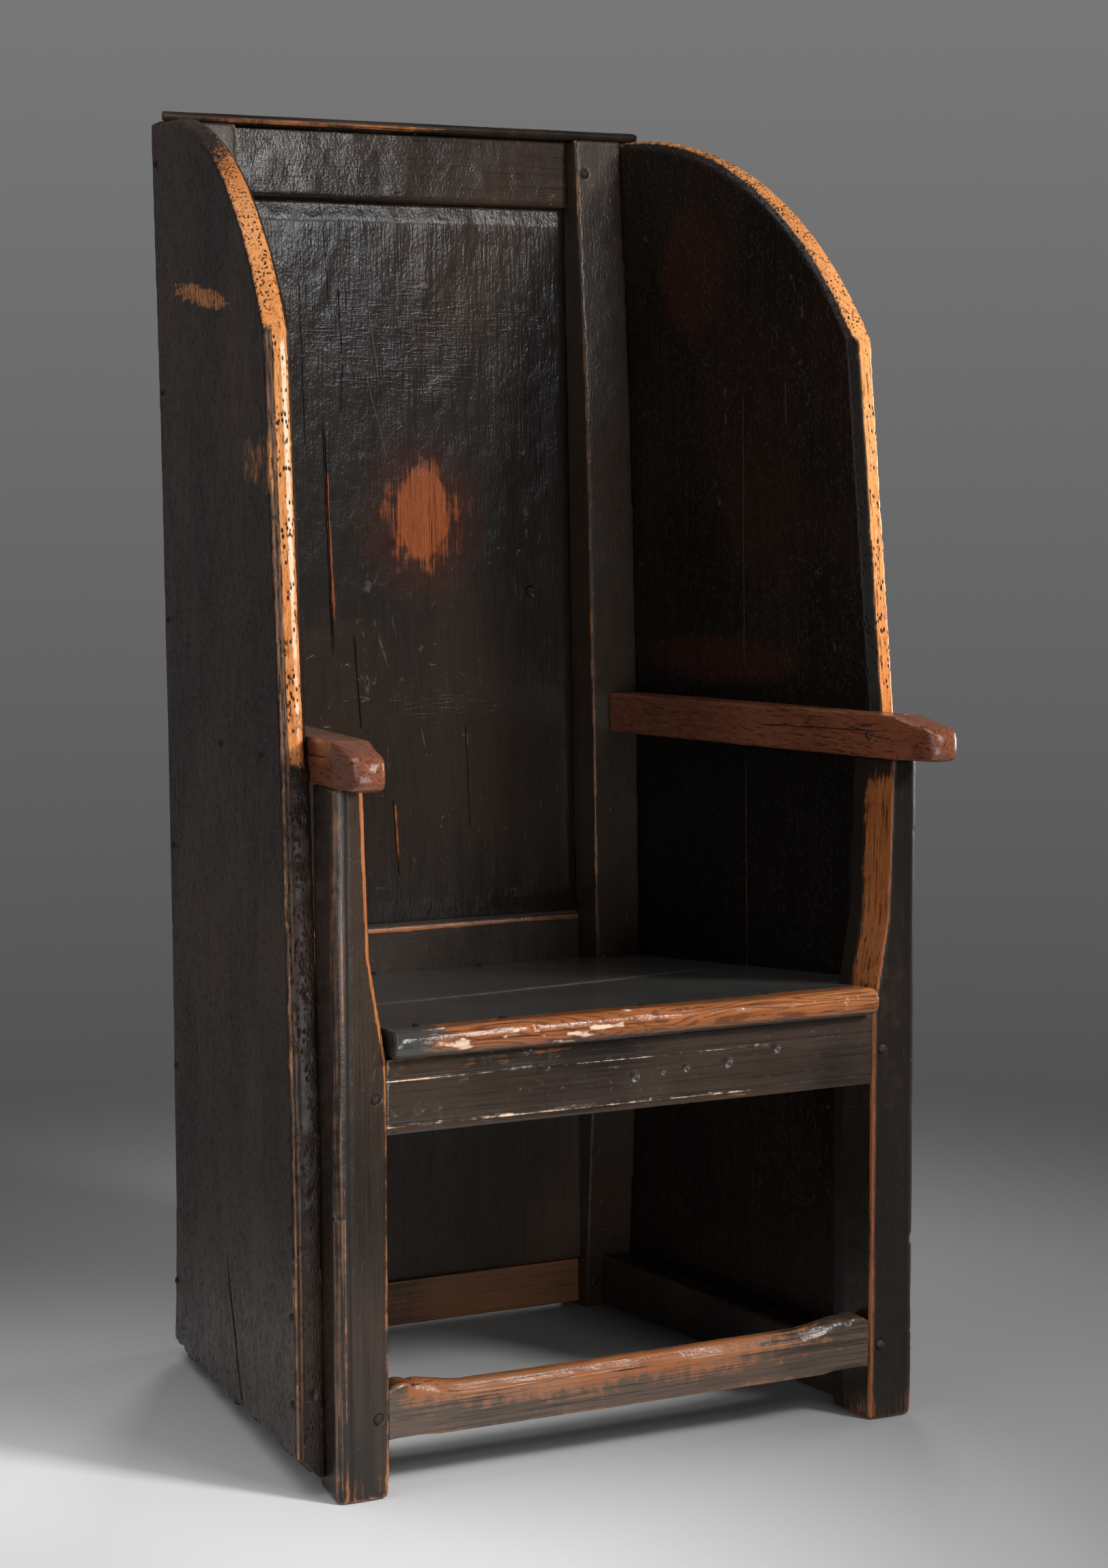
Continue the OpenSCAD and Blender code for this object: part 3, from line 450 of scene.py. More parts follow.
def wood(name, grain, dark=None, brown=None, bare=None, pale=None, streaks=0.4, pits=0.0,
         ripple=0.5, gloss=0.30, red=None, extra=None, brown_bias=0.0, flame=False, shine=1.0,
         specks=1.0):
    """Old waxed wood: dark patina over brown, rubbed down to bare wood, with grain, pits,
    grimy corners, fine scratches, pale specks and an uneven shine; marks can also paint shade,
    highlights and glints into it."""
    c = looks()
    dark, brown, bare, pale = dark or c.patina, brown or c.brown, bare or c.bare, pale or c.pale
    f = Finish(name)
    streak = f.noise(along_grain(grain, 430.0, 8.0), 2.0, 1.3, 0.6, 0.25)
    fibre = f.noise(along_grain(grain, 1500.0, 30.0), 1.0, 4.1)
    broad = f.noise((6.0, 6.0, 4.0), 2.0, 7.7)
    mottle = f.noise((95.0, 95.0, 70.0), 3.0, 2.9, 0.62)
    small = f.noise((420.0, 420.0, 300.0), 1.0, 8.8, 0.6)
    arris, grime, worn, lustre = [f.noted(n) for n in ("arris", "grime", "bare", "lustre")]
    spots = extra(f) if extra else {}
    if "bare" in spots:
        worn = worn.most(spots["bare"])
    bared = (worn + (mottle - 0.5) * 0.75 + (streak - 0.5) * 0.75 + arris * 0.18).step(0.36, 0.74)
    rubbed = (arris * 0.75 + (mottle - 0.5) * 0.9 + (broad - 0.5) * 0.8).step(0.44, 0.84)

    # Dark wood under the wax
    lines = streak * 0.62 + fibre * 0.38
    thin = (broad * 1.2 + streak * 0.3 + brown_bias).step(0.58, 0.98)
    base = f.mix(thin, tone(dark), tone(brown))
    base = f.mix(lines.step(0.50, 0.66) * streaks * 0.45, base, tone(brown, 1.25))
    base = f.mix((1.0 - lines.step(0.36, 0.47)) * streaks * 0.8, base, tone(dark, 0.45))
    base = f.mix(rubbed * 0.65, base, tone(brown, 1.5))
    if red is not None:
        base = f.mix(broad.step(0.54, 0.66) * 0.5, base, tone(red))
    # Scuffed wood's light brown, also painted glints where the marks ask for it
    tan_and_glint_share = (f.noted("tan") + (streak - 0.5) * 1.2 + (mottle - 0.5) * 0.5).step(0.38, 0.85)
    base = f.mix(tan_and_glint_share, base, TAN_AND_GLINT)

    # Bare wood where the wax is gone
    light = streak * (0.6 if flame else 0.55) + broad * 0.5
    light = f.mix(light.step(0.38, 0.70), tone(bare), tone(pale))
    if flame:
        wave = f.noise(along_grain(grain, 34.0, 5.0), 2.0, 6.6, 0.45, 0.4) * 110.0
        rings = wave.maths("SINE", wave) * 0.5 + 0.5
        rings = rings.step(0.50, 0.92) * mottle.step(0.32, 0.50)
        light = f.mix(rings * 0.6, light, tone(bare, 0.22))
    light = f.mix((1.0 - fibre.step(0.32, 0.45)) * 0.6, light, tone(bare, 0.4))
    light = f.mix((1.0 - streak.step(0.31, 0.41)) * 0.85, light, tone(bare, 0.16))
    # Painted highlight on bare wood where the lustre mark lies
    painted_highlight = (lustre + (mottle - 0.5) * 1.1).step(0.35, 0.75)
    light = f.mix(painted_highlight * 0.70, light, PAINTED_HIGHLIGHT)
    colour = f.mix(bared, base, light)

    height = (f.noise((30.0, 30.0, 17.0), 1.0, 6.1) * (1.5 * ripple) + mottle * (0.40 * ripple)
              + small * 0.15 + streak * 0.12 + fibre * 0.06)
    rough = mottle * 0.16 + (gloss - 0.08) + grime * 0.25 - lustre * 0.09
    if pits:
        pit = 1.0 - f.dots(along_grain(grain, 330.0, 150.0), 5.5).step(0.20, 0.46)
        pit = pit * f.noise((75.0, 75.0, 45.0), 2.0, 9.4).step(0.42, 0.52) * pits
        colour = f.mix(pit * bared, colour, PIT)
        height = height - pit * 0.6
        rough = rough + pit * 0.3

    # Hairline scratches along and across, pale specks, grimy corners, and painted shade where the
    # marks ask for it
    hair = abs(f.noise(along_grain(grain, 30.0, 6.0), 1.0, 12.3, 0.5, 0.8) - 0.5)
    cross = abs(f.noise(along_grain(grain, 8.0, 22.0), 1.0, 17.9, 0.5, 0.8) - 0.47)
    hair = (1.0 - hair.step(0.0, 0.005)) * mottle.step(0.53, 0.62)
    cross = (1.0 - cross.step(0.0, 0.005)) * mottle.step(0.57, 0.66)
    speck = (1.0 - f.dots((260.0, 260.0, 170.0), 7.1).step(0.06, 0.13)) * small.step(0.46, 0.56)
    colour = f.mix(speck.most(hair.most(cross) * 0.7) * (0.42 * specks), colour, SPECK)
    height = height - hair.most(cross) * 0.12
    # Darker in grimy corners and where the marks paint shade
    dirt_and_shade = (grime * 1.1 + (mottle - 0.5) * 0.6).step(0.30, 0.85) * 0.85
    colour = f.mix(dirt_and_shade, colour, tone(dark, 0.3))
    for kind, (share, shade, depth) in SPOT_KINDS.items():
        if kind in spots:
            colour = f.mix(spots[kind] * share, colour, shade or tone(dark, 0.5))
            height = height - spots[kind] * depth if depth else height
    if "heave" in spots:
        height = height + spots["heave"]
    return f.close(colour, rough, height, 0.0011 * c.relief, specular_ior_level=c.shine * shine)


# Wear of each piece, in its own millimetres

def board_gap(p):
    """Distance behind the front line or inside the curve of a wing board."""
    x, y, z = p.T
    line = np.interp(z, *BOARD_FRONT)
    curve = CURVE_R - np.hypot(y - CURVE_CENTRE[0], z - CURVE_CENTRE[1])
    upper = (z > SHOULDER_Z) & (y < CURVE_CENTRE[0])
    return np.where(upper, curve, y - line)


def groove(value, middle, half):
    return 1.0 - ramp(np.abs(value - middle), 0.35 * half, half)


def inwards(p):
    """Direction from the front edge of a wing board into the board."""
    x, y, z = p.T
    way = np.zeros_like(p)
    way[:, 1] = CURVE_CENTRE[0] - y
    way[:, 2] = CURVE_CENTRE[1] - z
    way /= np.linalg.norm(way, axis=1)[:, None]
    straight = z < SHOULDER_Z
    way[straight] = (0.0, 1.0, 0.0)
    return way


def shape_board(left):
    def shape(p, n):
        p = p.copy()
        x, y, z = p.T
        nx = n[:, 0]
        gap = board_gap(p)
        way = inwards(p)
        lack = np.clip(8.0 - x - gap, 0.0, None) * ramp(z, 634.0, 644.0) * (gap < 12.0)
        x += 0.5 * lack
        p += way * (0.5 * lack)[:, None]
        edge = ramp(gap, 7.0, 0.5)
        crown = 2.6 * (np.abs(x - 8.0) / 9.0).clip(0, 1.3) ** 2.2 * ramp(z, 632.0, 652.0)
        straight = ramp(z, 1030.0, 1014.0)
        inner = x < (16.5 if left else 13.5)
        back = np.where(inner, crown, 1.2 * (1.0 - straight) + 0.7)
        wander = 0.5 * cloud(p, (400.0, 400.0, 70.0), 31)
        lines = groove(x + wander, BOARD_LINES[0], 1.9)
        lines = lines + groove(x + wander, BOARD_LINES[1], 1.7) * 1.1
        lines = lines * (1.0 if left else ramp(z, 640.0, 620.0))
        back = back + lines * straight * 1.3
        back = back + ramp(x, 22.5, 26.0) * (1.2 + 1.0 * clouds(p, (99.0, 99.0, 26.0), 43))
        back = back + 0.7 * clouds(p, (60.0, 60.0, 17.0), 41)
        dents = clouds(p, (9.0, 9.0, 13.0), 45)
        back = back + ramp(dents, 0.45, 0.75) * 1.5
        p += way * (edge * back)[:, None]
        if left:
            foot = 5.5 + 6.0 * clouds(p, (60.0, 24.0, 400.0), 47)
            foot = foot + 3.0 * cloud(p, (9.0, 6.0, 400.0), 53) + ramp(x, 8.0, 24.0) * 5.0
            foot = foot * ramp(y, 540.0, 505.0) + 1.0
            z += ramp(z, 46.0, 4.0) * np.clip(foot, 0.0, None)
            wander = 2.0 * cloud(p, (99.0, 99.0, 30.0), 61)
            split = groove(y - SPLIT[0] * z - wander, SPLIT[1], 2.6)
            x -= ramp(nx, 0.5, 0.9) * split * ramp(z, 165.0, 120.0) * 4.5
        return p
    return shape


def marks_board(left):
    def marks(p, n, arris):
        x, y, z = p.T
        nx = n[:, 0]
        gap = board_gap(p)
        front = ramp(gap, 5.5, 2.0)
        above = ramp(z, 632.0, 655.0)
        straight = ramp(z, 1030.0, 1014.0)
        core = ramp(x, BOARD_LINES[1], 16.8) if left else np.ones(len(p))
        outer = 1.0 - core
        patches = 0.16 * clouds(p, (30.0, 30.0, 55.0), 3)
        bend = 1.0 - straight
        core = core * (ramp(x, -4.0, 1.0) if left
                       else ramp(x, 5.5 - 4.5 * bend, 12.5 - 8.0 * bend))
        worn = core + outer * (0.16 * straight + (1.0 - straight) * (0.84 if left else 0.60))
        band = front * above * (0.94 * worn + patches * 0.6)
        band = band * (1.0 - (0.74 if left else 0.34) * ramp(z, 1140.0, 1215.0))
        strip = front * (1.0 - above) * outer * 0.12
        ridge = groove(x, 24.4, 1.2) + groove(x, 19.9, 1.2)
        outer = outer if left else outer * (1.0 - above)
        tan = front * outer * straight * (0.54 + 0.08 * above + 0.5 * patches + 0.2 * ridge)
        strip = strip + front * outer * straight * ridge * (0.16 + 1.2 * patches)
        # Painted highlight: a pale streak along the crown of the front edge, fading downwards
        lustre = front * above * groove(x, 9.0 if left else 16.0, 3.4)
        lustre = lustre * ramp(z, 1022.0, 1004.0) * (0.50 + 0.40 * ramp(z, 680.0, 880.0))
        inner = ramp(x, 6.0, 0.5) * front * (0.05 if left else 0.1 + 0.5 * straight)
        near = ramp(gap, 22.0, 2.0) * ramp(nx, 0.4, 0.8)
        beside = near * ramp(z, 1010.0, 900.0) * (0.20 + 0.3 * clouds(p, (90.0, 60.0, 60.0), 3))
        bare = np.maximum(band - inner, np.maximum(strip + patches * strip, beside))
        lines = groove(x, BOARD_LINES[0], 2.0) + 1.2 * groove(x, BOARD_LINES[1], 1.8)
        lines = lines * (1.0 if left else 1.0 - above)
        grime = lines * front * straight * 0.62
        if left:
            dark = groove(y - SPLIT[0] * z, SPLIT[1], 3.4) * ramp(z, 165.0, 120.0)
        else:
            # Painted shade on the right board: its inner face under the arm, and the inner part of
            # its front edge, darkened to read as that shaded face
            under_arm_shade = ramp(-nx, 0.5, 0.9) * ramp(z, 380.0, 400.0) * ramp(z, 800.0, 640.0)
            strip = ramp(x, 13.0, 8.0) * ramp(gap, 9.0, 5.0)
            dark = np.maximum(0.75 * under_arm_shade * (gap > 8.0), 0.9 * strip * above * straight)
        return {"bare": bare, "grime": np.maximum(grime, dark), "tan": tan,
                "lustre": lustre * (1.0 if left else 0.4)}
    return marks


def shape_post(p, n):
    p = p.copy()
    x, y, z = p.T
    side = np.sign(x.mean())
    z += ramp(z, 16.0, 0.0) * np.clip(1.2 * clouds(p, (12.0, 12.0, 90.0), 71), 0, 2)
    outer = ramp(side * x, 284.0, 293.0) * ramp(y, 18.0, 4.0)
    nicks = ramp(clouds(p, (99.0, 99.0, 17.0), 73), 0.45, 0.85)
    nicks = nicks * (1.0 - 0.6 * ramp(z, 200.0, 420.0))
    x -= side * outer * (nicks * 1.7 + 0.5 * clouds(p, (99.0, 99.0, 60.0), 75))
    return p


def marks_post(p, n, arris):
    x, y, z = p.T
    nx, ny, nz = n.T
    side = np.sign(x.mean())
    inner = ramp(-side * nx, 0.5, 0.95)
    taper = inner * ramp(z, 394.0, 420.0) * ramp(z, 632.0, 600.0)
    bead = ramp(side * x, 285.0, 289.0) * ramp(y, 14.0, 6.0)
    ridge = groove(side * x, 287.6, 1.7) * bead
    bare = ridge * (0.42 + 0.2 * cloud(p, (60.0, 60.0, 90.0), 9))
    depth = y + 5.0 * clouds(p, (99.0, 99.0, 45.0), 13)
    corner = 248.0 + np.interp(z, (391.0, 481.0, 629.0), (0.0, 15.0, 20.0))
    corner = groove(np.abs(x), corner, 5.5) * ramp(y, 6.5, 4.0)
    ragged = 0.5 + 0.5 * clouds(p, (99.0, 99.0, 40.0), 17)
    above = ramp(z, 388.0, 396.0)
    if side < 0:
        bare = bare + corner * (0.95 * above + (1.0 - above) * 0.5 * ragged)
    else:
        bare = taper * (0.70 * ramp(depth, 44.0, 36.0)) + bead * 0.16
        bare = bare + corner * (0.25 * above + (1.0 - above) * (0.45 + 0.4 * ragged))
    foot = ramp(z, 60.0, 8.0) * (0.26 + 0.22 * ragged)
    edge = arris * 0.16
    scratch_and_shade = groove(side * x, 284.0, 2.0) * ramp(ny, -0.3, -0.8) * 0.8
    # Painted shade on the right post: its front face, and the back part of its inner face
    if side > 0:
        scratch_and_shade = np.maximum(scratch_and_shade, inner * ramp(depth, 36.0, 46.0) * 0.85)
        scratch_and_shade = np.maximum(scratch_and_shade, 0.66 * ramp(-ny, 0.3, 0.9))
    return {"bare": bare + foot + edge, "grime": scratch_and_shade,
            "tan": bead * (0.50 if side < 0 else 0.26)}


def marks_stile(p, n, arris):
    x, y, z = p.T
    nx, ny, nz = n.T
    side = np.sign(x.mean())
    line = arris * ramp(-side * nx, 0.1, 0.5) * ramp(-ny, 0.0, 0.3)
    return {"bare": line * 0.62 * ramp(z, 391.0, 430.0) + arris * 0.06}


def shape_stretcher(p, n):
    p = p.copy()
    x, y, z = p.T
    nx, ny, nz = n.T
    ends = ramp(np.abs(x), 165.0, 232.0)
    top = ramp(z, 78.0, 90.0)
    high = np.clip((z - 84.0) / 21.0, 0.0, 1.0)
    inside = np.abs(x) < 223.5
    rise = np.where(inside, 8.0 * ends * top, -3.0 * high * ramp(np.abs(x), 250.0, 224.0))
    z += rise - 8.0 * high * ramp(np.abs(x), 236.0, 249.0)
    worn = ramp(np.abs(x), 240.0, 190.0)
    z -= ramp(nz, 0.2, 0.9) * worn * (1.2 + 2.2 * clouds(p, (130.0, 400.0, 400.0), 81))
    y += ramp(-ny, 0.3, 0.9) * ramp(z, 70.0, 90.0) * worn * 1.2 * cloud(p, 45.0, 83)
    return p


def marks_stretcher(p, n, arris):
    x, y, z = p.T
    ny = n[:, 1]
    worn = ramp(np.abs(x), 262.0, 215.0)
    top = ramp(z, 58.0, 88.0)
    worn = worn * (1.0 - 0.70 * ramp(x, 90.0, 235.0))
    bare = worn * (0.30 + 0.42 * top) + 0.16 * cloud(p, (70.0, 400.0, 25.0), 85)
    line = groove(z, 79.0, 1.6) * ramp(-ny, 0.3, 0.8)
    return {"bare": bare + 0.20 * arris, "grime": line * 0.5}


def shape_seat(p, n):
    p = p.copy()
    x, y, z = p.T
    nx, ny, nz = n.T
    nose = ramp(y, 14.0, -14.0)
    y += nose * ramp(-ny, 0.1, 0.7) * (1.0 + 1.9 * clouds(p, (85.0, 400.0, 400.0), 91))
    z += nose * ramp(nz, 0.2, 0.8) * (1.1 * clouds(p, (70.0, 60.0, 400.0), 93) - 0.4)
    dish = ramp(np.abs(x), 230.0, 60.0) * ramp(y, -10.0, 90.0) * ramp(y, 430.0, 250.0)
    z -= ramp(nz, 0.3, 0.9) * dish * 1.2
    chips = ramp(clouds(p, (16.0, 9.0, 9.0), 99), 0.35, 0.8) * ramp(x, 60.0, -120.0)
    y += nose * ramp(-ny, -0.2, 0.4) * chips * 1.3
    tear = ramp(x, -228.0, -242.0) * ramp(y, 30.0, 0.0)
    x += tear * 2.5 * clouds(p, (9.0, 8.0, 8.0), 95)
    return p


def marks_seat(p, n, arris):
    x, y, z = p.T
    nose = ramp(y, 26.0, 4.0) * ramp(x, -245.0, -165.0)
    wave = 0.16 * cloud(p, (90.0, 60.0, 400.0), 97)
    bare = nose * (0.62 + wave) + ramp(y, 26.0, 4.0) * 0.16
    # Painted glints along the nosing, as pale highlight and light brown specks
    glints = ramp(clouds(p, (26.0, 12.0, 7.0), 103), 0.12, 0.5) * ramp(y, 16.0, 2.0)
    glints = glints * (0.35 + 0.65 * ramp(x, 90.0, -60.0))
    return {"bare": bare * ramp(z, 0.0, 6.0), "lustre": 0.75 * glints,
            "tan": 0.30 * glints}


def marks_seat_rail(p, n, arris):
    x, y, z = p.T
    ny = n[:, 1]
    top = ramp(z, 371.0, 381.0) * ramp(-ny, -0.2, 0.3)
    left = ramp(x, 40.0, -120.0)
    lines = (groove(z, RAIL_LINES[0], 1.8) + groove(z, RAIL_LINES[1], 1.8)) * ramp(-ny, 0.2, 0.8)
    for middle, height, r in RAIL_DENTS:
        lines = np.maximum(lines, ramp(np.hypot(x - middle, z - height), r, 0.5 * r))
    ragged = 0.5 + 0.5 * clouds(p, (45.0, 400.0, 9.0), 27)
    # Painted glints along the lower lips of the scored lines, over a little bare wood
    lips = groove(z, 331.4, 1.3) + groove(z, 371.6, 1.1)
    lips = lips * ramp(-ny, 0.2, 0.8) * ramp(x, 200.0, 60.0)
    # Painted glints on the front face
    glint = ramp(clouds(p, (22.0, 400.0, 7.0), 29), 0.35, 0.7) * ramp(-ny, 0.2, 0.8)
    # Darker in the scored lines and dents, and painted shade darkens the rail towards the right
    return {"bare": (arris * 0.12 + left * top * (0.16 + 0.36 * ragged) + 0.25 * glint
                     + lips * (0.20 + 0.60 * ragged)),
            "grime": np.maximum(lines * 0.6, 0.36 * ramp(x, -60.0, 240.0)),
            "tan": 0.35 * glint + lips * (0.30 + 0.5 * ragged), "lustre": lips}


def shape_seat_rail(p, n):
    p = p.copy()
    x, y, z = p.T
    ny = n[:, 1]
    front = ramp(-ny, 0.3, 0.8)
    for height in RAIL_LINES:
        wander = 0.6 * cloud(p, (60.0, 400.0, 400.0), 21)
        y += front * groove(z + wander, height, 1.8) * (0.6 + 0.6 * cloud(p, 16.0, 23))
    y += front * ramp(clouds(p, (11.0, 400.0, 4.5), 25), 0.4, 0.75) * 0.8
    for middle, height, r in RAIL_DENTS:
        away = np.hypot(x - middle, z - height)
        y += front * ramp(away, r + 1.0, 0.4 * r) * 2.4
    return p


def marks_back_rail(p, n, arris):
    top = groove(p[:, 2], 424.0, 3.2) * ramp(-n[:, 1], -0.2, 0.3)
    ragged = 0.5 + 0.5 * clouds(p, (60.0, 60.0, 400.0), 19)
    return {"bare": top * (0.45 + 0.5 * ragged)}


def marks_foot_rail(p, n, arris):
    # Bare wood on the front face and a little all over, which also paints the light that reaches
    # under the seat
    return {"bare": 0.30 * ramp(-n[:, 1], 0.2, 0.8) + 0.10}


def marks_cap(p, n, arris):
    x, y, z = p.T
    ny = n[:, 1]
    front = ramp(y, 503.5, 500.5) * ramp(z, 1245.5, 1242.0)
    left = ramp(x, 75.0, 10.0) * (0.55 + 0.45 * ramp(x, -250.0, -120.0))
    # Painted shade darkens the front face towards the right
    return {"bare": front * left * (0.50 + 0.30 * clouds(p, (60.0, 60.0, 60.0), 15)),
            "grime": 0.6 * ramp(x, 20.0, 110.0) * ramp(-ny, 0.3, 0.8)}


def marks_top_rail(p, n, arris):
    edge = arris * ramp(p[:, 2], 1180.0, 1172.0) * ramp(-n[:, 1], -0.4, 0.2)
    return {"bare": edge * 0.42}


def shape_arm(p, n):
    tip = ramp(p[:, 1], 20.0, -55.0)
    return p + n * (tip * 0.9 * clouds(p, (28.0, 28.0, 28.0), 101))[:, None]


def marks_arm(p, n, arris):
    y = p[:, 1]
    tip = ramp(y, 60.0, -40.0)
    far = ramp(y, 40.0, 260.0)
    # Painted shade over the back part of the arm
    dusk = far * (0.30 + 0.25 * clouds(p, (40.0, 90.0, 40.0), 107))
    return {"bare": 0.22 * tip + 0.26 * arris, "grime": np.clip(dusk, 0.0, 1.0)}


# Regions that are smoothed more often

def arm_tip(p):
    return ramp(p[:, 1], 0.0, -36.0)


def post_foot(p):
    return ramp(p[:, 2], 22.0, 10.0)


def stretcher_ends(p):
    x = np.abs(p[:, 0])
    return ramp(x, 196.0, 215.0) * ramp(x, 248.0, 241.0)


def nosing_end(p):
    return ramp(p[:, 1], 16.0, 4.0) * ramp(np.abs(p[:, 0]), 236.0, 243.0)


# Settings

def colour_setting(name, description, default):
    return FloatVectorProperty(name=name, description=description, default=default, size=3,
                               subtype="COLOR", min=0.0, max=1.0)


def power_setting(name, description, default):
    return FloatProperty(name=name, description=description, default=default, min=0.0,
                         unit="POWER")


class ChairLooks(bpy.types.PropertyGroup):
    """Colours and shine of the chair's woods and iron."""
    patina: colour_setting("Patina", "Darkest waxed surface", (0.0135, 0.0095, 0.0068))
    brown: colour_setting("Brown", "Patina where it thins", (0.042, 0.026, 0.0170))
    board: colour_setting("Board", "Patina of the wing boards", (0.0160, 0.0086, 0.0062))
    panel: colour_setting("Panel", "Patina of the panel", (0.0150, 0.0126, 0.0110))
    bare: colour_setting("Bare wood", "Wood where the patina is gone", (0.30, 0.092, 0.028))
    pale: colour_setting("Pale wood", "Lightest bare wood", (0.44, 0.158, 0.052))
    edge: colour_setting("Board edge", "Polished front edge of the boards", (0.60, 0.200, 0.052))
    edge_pale: colour_setting("Pale board edge", "Lightest wood of that edge",
                              (0.80, 0.36, 0.125))
    spot: colour_setting("Rubbed spot", "Spot worn through the panel's patina",
                         (0.24, 0.058, 0.017))
    spot_pale: colour_setting("Pale spot", "Lightest wood of the spot", (0.36, 0.100, 0.030))
    # The seat's grey is partly painted sheen on its top
    seat: colour_setting("Seat", "Grey black of the seat", (0.0560, 0.0545, 0.0510))
    arm: colour_setting("Arm", "Red brown of the arms", (0.200, 0.064, 0.031))
    tread: colour_setting("Tread", "Worn brown of the stretcher", (0.27, 0.125, 0.060))
    red: colour_setting("Red stain", "Old red stain under the wax", (0.040, 0.013, 0.009))
    iron: colour_setting("Iron", "Hand made nails", (0.014, 0.011, 0.010))
    shine: FloatProperty(name="Shine", description="Strength of the wax's shine",
                         default=0.46, min=0.0, max=1.0, subtype="FACTOR")
    relief: FloatProperty(name="Relief", description="Depth of grain and ripples",
                          default=1.0, min=0.0, max=3.0, subtype="FACTOR")


class ChairWear(bpy.types.PropertyGroup):
    """Sizes of the wear, in millimetres, and of the mesh cells."""
    cell: FloatProperty(name="Cell", description="Mesh cell of the frame's pieces, in millimetres",
                        default=1.7, min=1.2, max=4.0)
    board_cell: FloatProperty(name="Board cell", description="Mesh cell of boards, in millimetres",
                              default=2.3, min=1.8, max=6.0)
    soften: IntProperty(name="Soften", description="How often arrises are softened",
                        default=4, min=1, max=12)
    heave: FloatProperty(name="Heave", default=0.4, min=0.0, max=1.2,
                         description="Height of the waves in the surfaces, in millimetres")
    seed: IntProperty(name="Seed", description="Start of all random fields", default=3, min=0,
                      max=99)


class ChairStudio(bpy.types.PropertyGroup):
    """Lamps and backdrop."""
    key: power_setting("Key lamp", "Large lamp at the front right", 17.0)
    sheen: power_setting("Sheen lamp", "Lamp that draws the sheen on the panel", 3.6)
    low: power_setting("Low lamp", "Weak lamp that lights the space under the seat", 3.0)
    top: power_setting("Top lamp", "Large weak lamp over the floor at the left", 22.0)
    fill: power_setting("Fill lamp", "Large weak lamp at the left", 12.0)
    glint: power_setting("Glint lamp", "Small high lamp for the glints on round edges", 2.4)
    rear: power_setting("Rear lamp", "Lamp behind the chair", 9.0)
    side: power_setting("Side lamp", "Lamp at the chair's right side", 6.0)
    # The floor colours paint the light: pale where the key lamp's pool lies, shade on the right
    # and at the back
    floor: colour_setting("Floor", "Pale floor near the chair", (0.86, 0.86, 0.86))
    shade: colour_setting("Shade", "Floor on the right and at the back", (0.25, 0.25, 0.25))
    backdrop: colour_setting("Backdrop", "Grey of the backdrop", (0.165, 0.165, 0.165))


# Operators

def looks():
    return bpy.context.scene.chair_looks


def wear():
    return bpy.context.scene.chair_wear


def outwards(f, left):
    """0 on the inner face of a wing board, 1 on its outer face."""
    across = (f.x * (-1.0 if left else 1.0) - BOARD_FOOT * MM) * math.cos(SPLAY)
    return (across + (f.y - FRONT_LINE) * math.sin(SPLAY)).step(0.010, 0.016)


def board_extra(left):
    """Scuffs of the left board's outer face, or hairlines and red spots of the right one's
    inner face."""
    def extra(f):
        if left:
            tilt = ((f.z - 1.067) - (f.y - 0.157) * 0.112) / 0.012
            length = (f.y - 0.10) / 0.125
            ragged = (f.noise((30.0, 30.0, 160.0), 3.0, 5.2) - 0.5) * 1.6
            scuff = 1.0 - (tilt * tilt + length * length + ragged).step(0.2, 1.3)
            faint = patch(f, (None, -105, 905), (None, 75, 30), 1.1, 4.0) * 0.44
            return {"bare": (scuff * 0.66).most(faint) * outwards(f, True)}
        lines = scars(f, "Z", "y", (((37, 985), (33, 690), 0.6, 0.0004),
                                    ((-32, 985), (-34, 940), 0.7, 0.0004),
                                    ((30, 620), (26, 330), 0.6, 0.0004)))
        glow = patch(f, (None, 125, 1095), (None, 60, 70), 0.6, 2.0)
        low = patch(f, (None, 70, 706), (None, 140, 26), 0.7, 6.0)
        inner = 1.0 - outwards(f, False)
        return {"score": lines * inner, "glow": glow.most(low * 0.9) * inner}
    return extra


class ARMCHAIR_OT_boards(bpy.types.Operator):
    """Make the two wing boards"""
    bl_idname = "armchair.boards"
    bl_label = "Wing boards"

    def execute(self, context):
        c = looks()
        for word in ("left", "right"):
            left = word == "left"
            # The right board gets darker copies of its woods: painted shade on its inner face
            depth = 1.2 if left else 0.42
            ground = shaded(c.board, depth) if left else shaded(c.patina, 0.5)
            finish = wood(f"wing board wood {word}", "Z", ground, shaded(c.brown, depth), c.edge,
                          c.edge_pale, streaks=0.6, pits=1.0, ripple=0.45, gloss=0.28,
                          red=shaded(c.red, depth), extra=board_extra(left), shine=0.55,
                          specks=1.0 if left else 0.8)
            worn_piece(f"wing_board_{word}", finish, side_place(not left),
                       wear().board_cell, keep=0.30, shape=shape_board(left),
                       marks=marks_board(left))
        return {"FINISHED"}


class ARMCHAIR_OT_posts(bpy.types.Operator):
    """Make the front posts and rear stiles"""
    bl_idname = "armchair.posts"
    bl_label = "Posts and stiles"

    def execute(self, context):
        finish = wood("upright frame wood", "Z", gloss=0.27)
        # The stiles get a lighter copy of the patina: painted sheen
        stile = wood("stile wood", "Z", shaded(looks().patina, 3.6), streaks=0.3, gloss=0.28)
        for word in ("left", "right"):
            worn_piece(f"front_post_{word}", finish, row_place(), wear().cell,
                       keep=0.45, shape=shape_post, marks=marks_post, melt=(post_foot, 22))
            worn_piece(f"rear_stile_{word}", stile, row_place(), wear().cell,
                       keep=0.35, marks=marks_stile)
        return {"FINISHED"}


